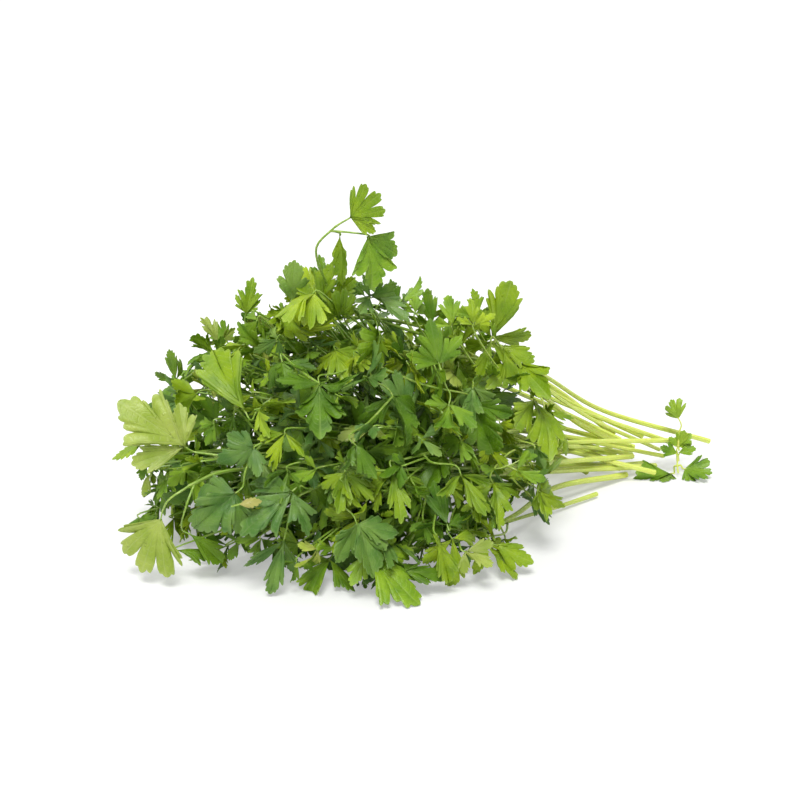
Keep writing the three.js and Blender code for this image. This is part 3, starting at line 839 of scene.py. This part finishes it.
# a leaf piece: its leaflets and its stalks as one mesh
def makeLeaf(name, slot, leafletParts, stalkRuns, sides):
    dress(leafletParts, slot)
    stalks = makeRuns(name + "Stalk", stalkRuns, sides=sides)
    for attribute in leafAttributes:
        stalks.data.attributes.new(attribute, "FLOAT", "POINT")
    dress([stalks], slot)
    for face in stalks.data.polygons:
        face.material_index = 2
    return joinParts(name, leafletParts + [stalks])


# The leaves that have a solid each

sprigForms = {
    "01": "broad", "02": "deep", "03": "fan", "04": "fine", "05": "broad", "06": "deep", "07": "deep",
    "08": "broad", "09": "wedge", "10": "broad", "11": "young", "12": "young", "13": "fine", "14": "round",
    "15": "deep", "16": "wedge", "17": "broad", "18": "round",
}


# the two lower leaves of the loose sprig, which lie open towards the camera
looseLeaf = {"face": (-0.15, -0.6, 0.8), "form": "broad", "loose": 0.2, "tint": 0.3, "turn": (48, 56),
             "shape": {"width": 1.05, "fold": 0.1, "bend": 0.1, "twist": 0}}
leafOwn = {  # how some leaves differ from their sprig
    "leaf_01_end": {"lead": 0.3, "tint": 0.25, "sides": (-1, 0), "size": 0.95, "loose": 0.2,
                    "sideForm": "wedge", "each": {-1: {"turn": -62, "size": 0.78}},
                    "shape": {"fold": 0.12, "bend": 0.1, "cup": -0.3, "twist": 0.1, "width": 1.0}},
    "leaf_01_right": {"lead": 0.15, "sides": (0, 1), "loose": 0.2, "tint": 0.35,
                      "each": {1: {"turn": 58, "size": 0.8, "roll": 0}},
                      "shape": {"width": 1.25, "fold": 0.25, "bend": 0.2, "cup": -0.8, "twist": 0.1}},
    "leaf_01_left": {"lead": 0.2, "tint": 0.15,
                     "shape": {"fold": 0.6, "bend": 0.1, "twist": 0.1, "width": 1.05}},
    "leaf_02_end": {"form": "broad", "face": (-0.2, -1, 0.45), "loose": 0.2, "tint": 0.4,
                    "each": {0: {"turn": -6, "size": 1.04}, 1: {"turn": 48, "size": 0.72, "form": "wedge"},
                             -1: {"turn": -54, "size": 0.58}},
                    "shape": {"width": 0.98, "fold": 0.3, "bend": 0.4, "twist": 0.1, "cup": 0.2}},
    "leaf_02_left": {"form": "fine", "tint": 0.1, "size": 0.9},
    "leaf_03_end": {"size": 0.82, "tint": 0.4, "each": {0: {"turn": -7}},
                    "shape": {"fold": 0.1, "bend": 0.2, "cup": 0.2, "twist": 0.1, "width": 1.12}},
    "leaf_03_left": {"fanForm": "wedge", "form": "wedge", "tint": 0.05, "size": 0.8,
                     "each": {0: {"turn": -4, "roll": 0}},
                     "shape": {"bend": 0.1, "twist": 0.1, "fold": 0.3, "width": 0.9}},
    "leaf_04_end": {"form": "deep", "tint": 0.1, "shape": {"width": 0.95, "fold": 0.3},
                    "each": {1: {"turn": 70, "size": 0.7}, -1: {"turn": -66, "size": 0.85}}},
    "leaf_04_right": {"form": "wedge", "tint": 0.3, "size": 0.92, "turn": (30, 44), "sideSize": (0.7, 0.86),
                      "shape": {"width": 0.62, "fold": 0.45, "bend": 0.3}},
    "leaf_05_end": {"tint": 0.6, "each": {-1: {"turn": -66, "size": 0.5}, 0: {"turn": 6, "size": 1.03},
                                         1: {"turn": 60, "size": 0.72}},
                    "shape": {"fold": 0.2, "bend": 0.15, "cup": -0.4, "twist": 0, "width": 0.95}},
    "leaf_05_right": {"size": 0.86},
    "leaf_06_end": {"form": "wedge", "flip": True, "tint": 0.6, "shape": {"width": 0.85},
                    "each": {0: {"turn": -16, "size": 0.86}}},
    "leaf_06_left": {"form": "broad", "tint": 0.6, "shape": {"width": 0.9, "bend": 0.2, "fold": 0.2}},
    "leaf_07_end": {"tint": 0.3},
    "leaf_07_left": {"tint": 0.35},
    "leaf_09_end": {"form": "wedge", "tint": 0.42,
                    "each": {0: {"turn": -1, "size": 1.04}, -1: {"turn": -84, "size": 0.8},
                             1: {"turn": 46, "size": 0.6}},
                    "shape": {"width": 0.92, "fold": 0.3, "cup": -0.3, "bend": 0.2}},
    "leaf_09_left": {"form": "broad", "tint": 0.45, "size": 1.1, "shape": {"width": 0.85, "fold": 0.3}},
    "leaf_09_right": {"form": "wedge", "tint": 0.5, "size": 1.05},
    "leaf_10_end": {"flip": True},
    "leaf_10_left": {"flip": True},
    "leaf_11_end": {"flip": True, "form": "fine", "tint": 1.1, "sides": (0,), "loose": 0.3, "size": 1.05,
                    "shape": {"width": 0.8, "fold": 0.2, "bend": 0.1, "cup": -0.2}},
    "leaf_12_end": {"tint": 0.1},
    "leaf_12_left": {"tint": 0.15},
    "leaf_13_end": {"form": "broad", "shape": {"width": 0.85}},
    "leaf_13_right": {"form": "broad", "turn": (62, 80), "shape": {"width": 0.85}},
    "leaf_14_end": {"form": "wedge", "sides": (0,), "loose": 0.2, "size": 1.05, "tint": 0.2,
                    "shape": {"width": 1.05, "fold": 0.35, "bend": 0.6, "cup": 0.5, "twist": 0.3}},
    "leaf_14_right": {"size": 0.76},
    "leaf_15_end": {"tint": 1.0, "loose": 0.3, "turn": (34, 46), "sideSize": (0.5, 0.6),
                    "shape": {"bend": 0.1, "fold": 0.3}},
    "leaf_16_end": {"size": 0.88, "tint": 1.15, "form": "broad", "shape": {"width": 1.0}},
    "leaf_16_left": {**looseLeaf, "sides": (0, 1), "size": 1.15},
    "leaf_16_right": {**looseLeaf, "sides": (0, -1), "size": 1.1},
}
plainTint = (0.3, 0.75)  # of a leaf that has no tint of its own


def growNode(node):
    _, sprig, side = node.split("_")
    forks = leafForks[node]
    start, leaving = crownOf(stemLines["stem_" + sprig], side)
    forks = sorted(forks, key=lambda f: np.linalg.norm(f["fork"] - start))
    parts, runs = [], []
    look = {"form": sprigForms[sprig], **leafOwn.get(node, {})}
    tint = look.get("tint", chance.uniform(*plainTint))
    for fork in forks:
        parts += growFork(fork["kind"], look, "full", fork["fork"], fork["tip"], fork["up"], tint)
        forward = unit(fork["tip"] - fork["fork"])
        line = stalkLine(start, leaving, fork["fork"], forward, look.get("lead", 1.0))
        runs.append((line, tapered(line, stemMake["stalkRadius"], stemMake["stalkTip"])))
        start, leaving = fork["fork"], unit(forks[-1]["fork"] - fork["fork"] + forward * mm)
    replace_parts(makeLeaf("grown_" + node, slotOf[node], parts, runs, 1), node)


for node in leafNodes:
    growNode(node)
print("leaves grown on the solids")


# Stems: one piece for each solid

def growStem(node):
    line = smoothLine(stemLines[node], stemMake["steps"])
    drawn = chance.uniform(*stemMake["cutRadius"]), chance.uniform(*stemMake["crownRadius"])
    radii = tapered(line, *stemMake["radii"].get(node, drawn))
    piece = makeRuns("grown_" + node, [(line, radii)], profile=stemProfile)
    piece.data.materials.append(stemSkin)
    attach(piece, "root")
    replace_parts(piece, node)


for node in stemNodes:
    growStem(node)
print("stems grown on the solids")


# Undergrowth: the many smaller leaves and stems of the same heap, about as far out as the solids reach

fill = {
    "surface": 256,
    "inside": 148,
    "skirt": 100,  # low ones around the edge, which close the heap against the surface
    "surfaceDepth": (0.7, 0.98),
    "insideDepth": (0.2, 0.76),
    "skirtDepth": (0.62, 0.9),
    "skirtHeight": (5 * mm, 28 * mm),
    "length": (13 * mm, 29 * mm),
    "insideLength": (20 * mm, 34 * mm),
    "leftMost": -0.172,
    "lowestFork": 6 * mm,
    "lowestTip": 2 * mm,
    "tries": 40,
    "faceUp": (0, 0, 0.5),  # how far the leaves look up, besides outwards
    "faceLoose": 0.85,
    "outward": 0.3,  # how far they point outwards
    "hang": (-0.25, 0, -0.75),
    "hangLoose": 0.75,
    "wing": 0.75,  # how far out the side leaflets reach
    "laterals": 0.35,  # share of the leaves with two more leaflets lower on their stalk
    "flipped": 0.2,  # share that shows its underside
    "insidePaintedShade": 0.55,  # painted shade: leaves deep in the heap are darker, standing for the shade among the leaves around them
    "dry": 0.004,  # share of dry tan ones
    "dryTint": 1.5,
    "perPiece": 9,
    "surfaceForms": ("broad", "deep", "deep", "wedge", "wedge", "fan", "fine", "young"),
    "stalkBack": 5 * mm,  # a stalk starts behind its leaf, further in and nearer the stems
    "stalkIn": 14 * mm,
    "stalkAlong": (6 * mm, 14 * mm),
    "stalkLead": 0.5,
}
lateral = {
    "turn": (48, 70),
    "droop": (-0.2, 0.4),
    "stalk": (5, 9),  # mm
    "size": (0.55, 0.75),
    "look": {"sides": (0,)},
    "arch": 0.5 * mm,
}
extraStem = {
    "count": 14,
    "perPiece": 2,
    "cut": ((-26, 4), (-9, 9), (-8, 8)),  # mm from the cut end of a modelled stem
    "lowest": (2.4 * mm, 8 * mm),  # at the cut end and in the heap
    "runs": ((-1, 0.2), (-1, 1), (-0.4, 0.8)),
    "depth": (0.25, 0.6),
    "middle": (0.55, 0.45),  # shares of the cut end and the far end
    "belly": (0, 14),  # mm that the middle lies above them
    "steps": 9,
    "drawn": (3, 4),  # every third point is kept, with 4 steps between
    "gap": 3.9 * mm,  # from the first of another stem's rings
    "thin": 0.9,
}
hollows = [  # round places that the scattered leaves stay out of: the middle and radius of each in mm
    ((-192, -16, 46), 24),
    ((-196, -34, 24), 30),
    ((-170, -42, 30), 18),
    ((-154, -62, 8), 16),
    ((-190, 11, 52), 27),
    ((-182, 42, 44), 24),
    ((-22, -94, 42), 12),
    ((-46, -88, 50), 10),
]
faces = {"near": (-0.2, -1, 0.45), "flat": (-0.1, -0.5, 1)}
# single sprigs: slot, fork and tip in mm, and what differs in their look; they face the near side unless
# they lie flat
singles = [
    ("leaf_bright", (-60, 12, 135), (-68, 16, 156), {}),
    ("leaf_mid", (-56, 15, 139), (-55, 14, 160), {}),
    ("leaf_pale", (-117, 26, 110), (-122, 29, 128), {}),
    ("leaf_dark", (-141, 32, 90), (-145, 33, 108), {}),
    ("leaf_mid", (-18, -7, 130), (-22, -5, 146), {"form": "broad"}),
    ("leaf_mid", (-2, -46, 127), (-4, -46, 146), {"form": "broad"}),
    ("leaf_bright", (8, -53, 128), (7, -53, 145), {"form": "deep"}),
    ("leaf_bright", (-67, -6, 137), (-62, -11, 162), {"form": "broad", "tint": 0.3}),
    ("leaf_bright", (-63, -13, 138), (-52, -20, 155), {"form": "wedge", "tint": 0.2}),
    ("leaf_bright", (28, -47, 112), (44, -60, 104),
     {"form": "wedge", "tint": 0.4, "sides": (0,),
      "shape": {"width": 1.0, "fold": 0.2, "cup": 0, "bend": 0.2}}),
    ("leaf_bright", (-45, -117, 35), (-40, -130, 9), {"form": "wedge", "sides": (0,)}),
    ("leaf_dark", (-61, -112, 13), (-39, -121, 14), {"faces": "flat", "form": "fine", "sides": (0, 1)}),
    ("leaf_mid", (26, -18, 121), (28, -18, 138), {}),
    ("leaf_mid", (-104, -7, 132), (-114, -3, 121), {"form": "broad", "tint": 0.6}),
    ("leaf_blue_green", (-96, -17, 123), (-110, -14, 114), {"form": "deep"}),
    ("leaf_bright", (-4, -108, 18), (14, -120, 8),
     {"form": "broad", "tint": 0.5, "sides": (0,), "shape": {"width": 1.0, "fold": 0.1, "bend": 0.2}}),
    ("leaf_bright", (28, -98, 41), (38, -109, 30), {"form": "broad", "tint": 0.4}),
    ("leaf_dark", (-168, -44, 18), (-150, -51, 15),
     {"faces": "flat", "form": "wedge", "tint": 0.9, "sides": (0,),
      "shape": {"width": 1.0, "fold": 0.1, "bend": 0.1, "cup": 0}}),
    ("leaf_bright", (22, -48, 115), (13, -51, 95), {"form": "wedge", "tint": 0.5}),
    ("leaf_bright", (28, -51, 110), (32, -60, 91), {"form": "wedge", "tint": 0.4}),
    ("leaf_mid", (-80, 10, 125), (-85, 12, 136), {}),
    ("leaf_bright", (-68, 2, 126), (-73, 5, 138), {"form": "broad", "tint": 0.3}),
    ("leaf_mid", (-53, -11, 128), (-56, -9, 139), {}),
    ("leaf_blue_green", (-41, -21, 141), (-28, -29, 152), {"form": "broad", "tint": 0.8, "sides": (0, 1)}),
    ("leaf_dark", (-43, -18, 141), (-49, -15, 153), {"form": "narrow", "tint": 0.8, "sides": (0,)}),
    ("leaf_mid", (-18, -31, 132), (-17, -31, 144), {"form": "broad"}),
    ("leaf_bright", (-15, -106, 46), (-16, -113, 34), {"form": "wedge", "tint": 0.4}),
    ("leaf_mid", (-45, -102, 37), (-44, -106, 24), {"form": "wedge", "tint": 0.4}),
    ("leaf_mid", (-129, -74, 30), (-136, -74, 14), {"form": "deep", "tint": 0.5}),
    ("leaf_bright", (27, -44, 113), (23, -42, 126), {"form": "wedge", "tint": 0.2, "sides": (0,)}),
    ("leaf_mid", (-175, -16, 61), (-179, -18, 51), {"form": "broad", "tint": 0.2}),
    ("leaf_mid", (-136, -22, 80), (-142, -22, 68), {"form": "broad", "tint": 0.3}),
    ("leaf_dark", (-127, -30, 87), (-133, -30, 73), {"form": "deep", "tint": 0.6}),
    ("leaf_mid", (-165, -24, 53), (-172, -26, 42), {"form": "deep", "tint": 0.4}),
    ("leaf_dark", (-137, -61, 25), (-143, -60, 14), {"form": "wedge", "tint": 0.6}),
    ("leaf_mid", (-114, -89, 20), (-117, -89, 6), {"form": "wedge", "tint": 0.4}),
    ("leaf_bright", (-24, -94, 50), (-22, -99, 39), {"form": "broad", "tint": 0.4}),
    ("leaf_pale", (-145, -84, 56), (-133, -89, 59),
     {"form": "narrow", "tint": 1.5, "sides": (0,), "shape": {"width": 1.2}}),
]
petals = [  # of the loose sprig: slot, root, fork and tip in mm, and tint
    ("leaf_mid", (171, -18, 9), (170, -18, 14), (160, -14, 19), 0.3),
    ("leaf_mid", (171, -18, 9), (170, -19, 15), (180, -24, 18), 0.4),
    ("leaf_mid", (171, -18, 16), (171, -18, 20), (178, -21, 27), 0.6),
]
petalLook = {"form": "broad", "sides": (0,), "loose": 0.4, "shape": {"width": 1.1, "bend": 0.3}}
heapReach = {
    "height": 42 * mm,  # of the middle that the heap's reach is measured from
    "spreads": (0.95, 0.9, 0.8, 0.6, -1),  # cosines of ever wider cones, until enough corners lie in one
    "enough": 25,
    "percentile": 82,
}
heapSolids = [n for n in leafNodes if n.split("_")[1] not in ("01", "02", "03", "16")]
heapCorners = np.concatenate([solidCorners(n)[0] for n in heapSolids])
heapMiddle = np.array((heapCorners[:, 0].mean(), heapCorners[:, 1].mean(), heapReach["height"]))
heapAways = heapCorners - heapMiddle
heapReaches = np.linalg.norm(heapAways, axis=1)
heapAways = heapAways / heapReaches[:, None]


def metres(place):
    return np.array(place) / 1000


# how far the heap reaches from its middle in a direction
def reachAlong(direction):
    for spread in heapReach["spreads"]:
        near = heapAways @ direction > spread
        if near.sum() > heapReach["enough"]:
            return np.percentile(heapReaches[near], heapReach["percentile"])


# a few large faces that stand for a leaf while the others are placed around it
proxyMake = {
    "leaflets": ((-70, 0.8, 0.25), (0, 1, 0), (70, 0.8, 0.25)),  # the turn, size and droop of each
    "corners": ((0.1, 0), (0.55, 0.3), (0.92, 0), (0.55, -0.3)),
}


def trioProxy(fork, x, y, z, length):
    corners, quads = [], []
    for turn, size, droop in proxyMake["leaflets"]:
        a = math.radians(turn)
        along = x * math.cos(a) + y * math.sin(a) - z * droop
        across = np.cross(z, along)
        k = len(corners)
        corners += [Vector(fork + (along * u + across * v) * length * size) for u, v in proxyMake["corners"]]
        quads.append((k, k + 1, k + 2, k + 3))
    return BVHTree.FromPolygons(corners, quads)


obstacles = []


def addObstacle(fork, x, y, z, length):
    obstacles.append((fork, length, trioProxy(fork, x, y, z, length)))


for forks in leafForks.values():
    for f in forks:
        addObstacle(f["fork"], *leafAxes(f["tip"] - f["fork"], f["up"]), f["length"])


# ribbons along all the stems, which no leaf may cross
def stemTree(lines):
    corners, quads = [], []
    rise = np.array((0, 0, stemMake["crownRadius"][0]))
    for line in lines:
        for a, b in zip(line, line[1:]):
            k = len(corners)
            corners += [Vector(a - rise), Vector(a + rise), Vector(b + rise), Vector(b - rise)]
            quads.append((k, k + 1, k + 2, k + 3))
    return BVHTree.FromPolygons(corners, quads)


def strayedFrom(spans):
    return np.array([chance.uniform(*span) for span in spans])


def anyWay():
    return np.array([chance.gauss(0, 1) for _ in range(3)])


def growExtraStems():
    lines = [np.array(line) for line in stemLines.values()]
    starts = [line[0] for line in lines]
    extra = []
    while len(extra) < extraStem["count"]:
        start = chance.choice(starts) + strayedFrom(extraStem["cut"]) * mm
        start[2] = max(start[2], extraStem["lowest"][0])
        way = unit(strayedFrom(extraStem["runs"]))
        end = heapMiddle + way * reachAlong(way) * chance.uniform(*extraStem["depth"])
        end[2] = max(end[2], extraStem["lowest"][1])
        a, b = extraStem["middle"]
        belly = start * a + end * b + np.array((0, 0, chance.uniform(*extraStem["belly"]) * mm))
        line = np.array(smoothLine([start, belly, end], extraStem["steps"]))
        gap = min(np.min(np.linalg.norm(line[:, None] - other[None], axis=2)[:4]) for other in lines)
        if gap > extraStem["gap"]:
            extra.append(line)
            lines.append(line)
    for k in range(0, len(extra), extraStem["perPiece"]):
        runs = []
        for line in extra[k:k + extraStem["perPiece"]]:
            every, steps = extraStem["drawn"]
            line = smoothLine(line[::every], steps)
            cut = chance.uniform(*stemMake["cutRadius"]) * extraStem["thin"]
            runs.append((line, tapered(line, cut, stemMake["crownRadius"][0])))
        piece = makeRuns("extraStems_%02d" % (k // extraStem["perPiece"] + 1), runs, profile=stemProfile)
        piece.data.materials.append(stemSkin)
        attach(piece, "root")
    return extra


allStems = stemTree(list(stemLines.values()) + growExtraStems())


def isClear(fork, length, proxy):
    if allStems.overlap(proxy):
        return False
    return not any(np.linalg.norm(fork - o[0]) < length + o[1] and o[2].overlap(proxy) for o in obstacles)


slotShares = {
    "right": {"leaf_bright": 5, "leaf_mid": 3, "leaf_blue_green": 1, "leaf_dark": 1},
    "top": {"leaf_bright": 4, "leaf_mid": 4, "leaf_blue_green": 2, "leaf_dark": 1, "leaf_pale": 1},
    "middle": {"leaf_bright": 3, "leaf_mid": 4, "leaf_blue_green": 3, "leaf_dark": 3, "leaf_pale": 1},
    "left": {"leaf_bright": 4, "leaf_mid": 3, "leaf_dark": 2, "leaf_blue_green": 1, "leaf_pale": 1},
    # leaves inside the heap mostly take the dark slot: painted shade of the heap's depths
    "inside": {"leaf_dark": 5, "leaf_mid": 3, "leaf_blue_green": 2},
}
heapParts = {"top": 0.1, "right": 0, "left": -0.12}  # where each part of the heap begins


def partOfHeap(place):
    if place[2] > heapParts["top"]:
        return "top"
    if place[0] > heapParts["right"]:
        return "right"
    return "left" if place[0] < heapParts["left"] else "middle"


def pickSlot(place, inside):
    shares = slotShares["inside" if inside else partOfHeap(place)]
    return chance.choices(list(shares), shares.values())[0]


def pickPlace(layer):
    while True:
        direction = unit(anyWay())
        place = heapMiddle + direction * reachAlong(direction) * chance.uniform(*fill[layer + "Depth"])
        if layer == "skirt":
            place[2] = chance.uniform(*fill["skirtHeight"])
        if place[2] > fill["lowestFork"]:
            return direction, place


# in a hollow, or too far out at the left as seen from the camera
def isHollow(place):
    turn = math.radians(camera["azimuth"])
    if place[0] * math.cos(turn) + place[1] * math.sin(turn) < fill["leftMost"]:
        return True
    return any(math.dist(place, metres(middle)) < radius * mm for middle, radius in hollows)


# leaves of one layer of the heap (surface, inside or skirt), each where it clears all the others: its slot,
# fork, ways along and up, length, way out of the heap, whether it is plain, and its own look
def scatterFill(layer):
    found = []
    for _ in range(fill[layer]):
        for _ in range(fill["tries"]):
            direction, fork = pickPlace(layer)
            face = unit(direction + np.array(fill["faceUp"]) + anyWay() * fill["faceLoose"])
            along = direction * fill["outward"] + np.array(fill["hang"]) + anyWay() * fill["hangLoose"]
            x, y, z = leafAxes(along, face)
            if chance.random() < fill["flipped"]:
                z, y = -z, -y
            length = chance.uniform(*fill["insideLength" if layer == "inside" else "length"])
            tip, wing = fork + x * length, fill["wing"]
            wings = [tip, fork, fork + y * length * wing, fork - y * length * wing]
            if tip[2] < fill["lowestTip"] or any(isHollow(p) for p in wings):
                continue
            proxy = trioProxy(fork, x, y, z, length)
            if isClear(fork, length, proxy):
                obstacles.append((fork, length, proxy))
                slot = pickSlot(fork, layer == "inside")
                found.append((slot, fork, x, z, length, direction, layer != "surface", {}))
                break
    return found


# two smaller leaflets, each on a short stalk of its own, on either side of a leaf's stalk
def growLaterals(look, line, z, length, tint):
    at, forward = line[-7], unit(line[-6] - line[-8])
    parts, runs = [], []
    for side in (-1, 1):
        turn = math.radians(chance.uniform(*lateral["turn"])) * side
        x, y, up = leafAxes(forward, z)
        along = unit(x * math.cos(turn) + y * math.sin(turn) - up * chance.uniform(*lateral["droop"]))
        fork = at + along * chance.uniform(*lateral["stalk"]) * mm
        tip = fork + along * (length * chance.uniform(*lateral["size"]))
        parts += growFork("trio", {**look, **lateral["look"]}, "plain", fork, tip, up, tint)
        joint = [at, (at + fork) / 2 + up * lateral["arch"], fork + along * mm]
        runs.append((joint, [stemMake["stalkTip"]] * 3))
    return parts, runs


# the leaves of each slot as pieces of a few neighbours each, from one end of the bunch to the other
def growFill(found):
    bySlot = {}
    for leaf in found:
        bySlot.setdefault((leaf[0], leaf[6]), []).append(leaf)
    count = 0
    for (slot, inside), group in sorted(bySlot.items()):
        group.sort(key=lambda leaf: leaf[1][0])
        for k in range(0, len(group), fill["perPiece"]):
            parts, runs = [], []
            for _, fork, x, z, length, direction, _, own in group[k:k + fill["perPiece"]]:
                look = {"form": chance.choice(fill["surfaceForms"]), **own}
                tint = fill["dryTint"] if chance.random() < fill["dry"] else chance.uniform(0, 1)
                # a leaf inside the heap has its tint darkened: painted shade of the heap's depths
                tint = own.get("tint", tint * (fill["insidePaintedShade"] if inside else 1))
                detail = "plain" if inside else "half"
                parts += growFork("trio", look, detail, fork, fork + x * length, z, tint)
                inward, (near, far) = direction * fill["stalkIn"], fill["stalkAlong"]
                back = fork - x * fill["stalkBack"] - inward + np.array((near, 0, 0))
                deep = back - inward + np.array((far, 0, 0))
                deep[2] = max(deep[2], mm)
                line = stalkLine(deep, unit(back - deep), fork, x, fill["stalkLead"])
                runs.append((line, tapered(line, stemMake["stalkRadius"], stemMake["stalkTip"])))
                if not inside and not own and chance.random() < fill["laterals"]:
                    more, joints = growLaterals(look, line, z, length, tint)
                    parts += more
                    runs += joints
            count += 1
            makeLeaf("undergrowth_%02d" % count, slot, parts, runs, 0)
    return count


def placeSingles():
    found = []
    for slot, fork, tip, look in singles:
        fork, tip = metres(fork), metres(tip)
        x, y, z = leafAxes(tip - fork, np.array(faces[look.get("faces", "near")]))
        length = np.linalg.norm(tip - fork)
        addObstacle(fork, x, y, z, length)
        outward = np.array((0, 0, 1.0)) if fork[2] > heapMiddle[2] * 2 else unit(fork - heapMiddle)
        found.append((slot, fork, x, z, length, outward, False, look))
    return found


def growPetals():
    for k, (slot, *places, tint) in enumerate(petals):
        root, fork, tip = (metres(place) for place in places)
        x, y, z = leafAxes(tip - fork, np.array(faces["near"]))
        parts = growFork("trio", petalLook, "full", fork, tip, z, tint)
        line = smoothLine([root, (root + fork) / 2 + y * 0.5 * mm, fork + x * mm], leafMake["stalkSteps"])
        runs = [(line, tapered(line, stemMake["stalkRadius"], stemMake["stalkTip"]))]
        makeLeaf("petal_%d" % (k + 1), slot, parts, runs, 1)


growPetals()
placedSingles = placeSingles()
layers = {layer: scatterFill(layer) for layer in ("surface", "skirt", "inside")}
print("undergrowth placed:", {layer: len(found) for layer, found in layers.items()})
print("undergrowth pieces:", growFill(placedSingles + layers["surface"] + layers["skirt"] + layers["inside"]))

for thing in [*leaflets.values(), stemProfile]:
    bpy.data.objects.remove(thing)
shown = [o for o in bpy.context.scene.objects if o.type == "MESH" and not o.hide_render]
triangles = sum(len(p.vertices) - 2 for o in shown for p in o.data.polygons)
print("triangles:", triangles, "in", len(shown), "objects")
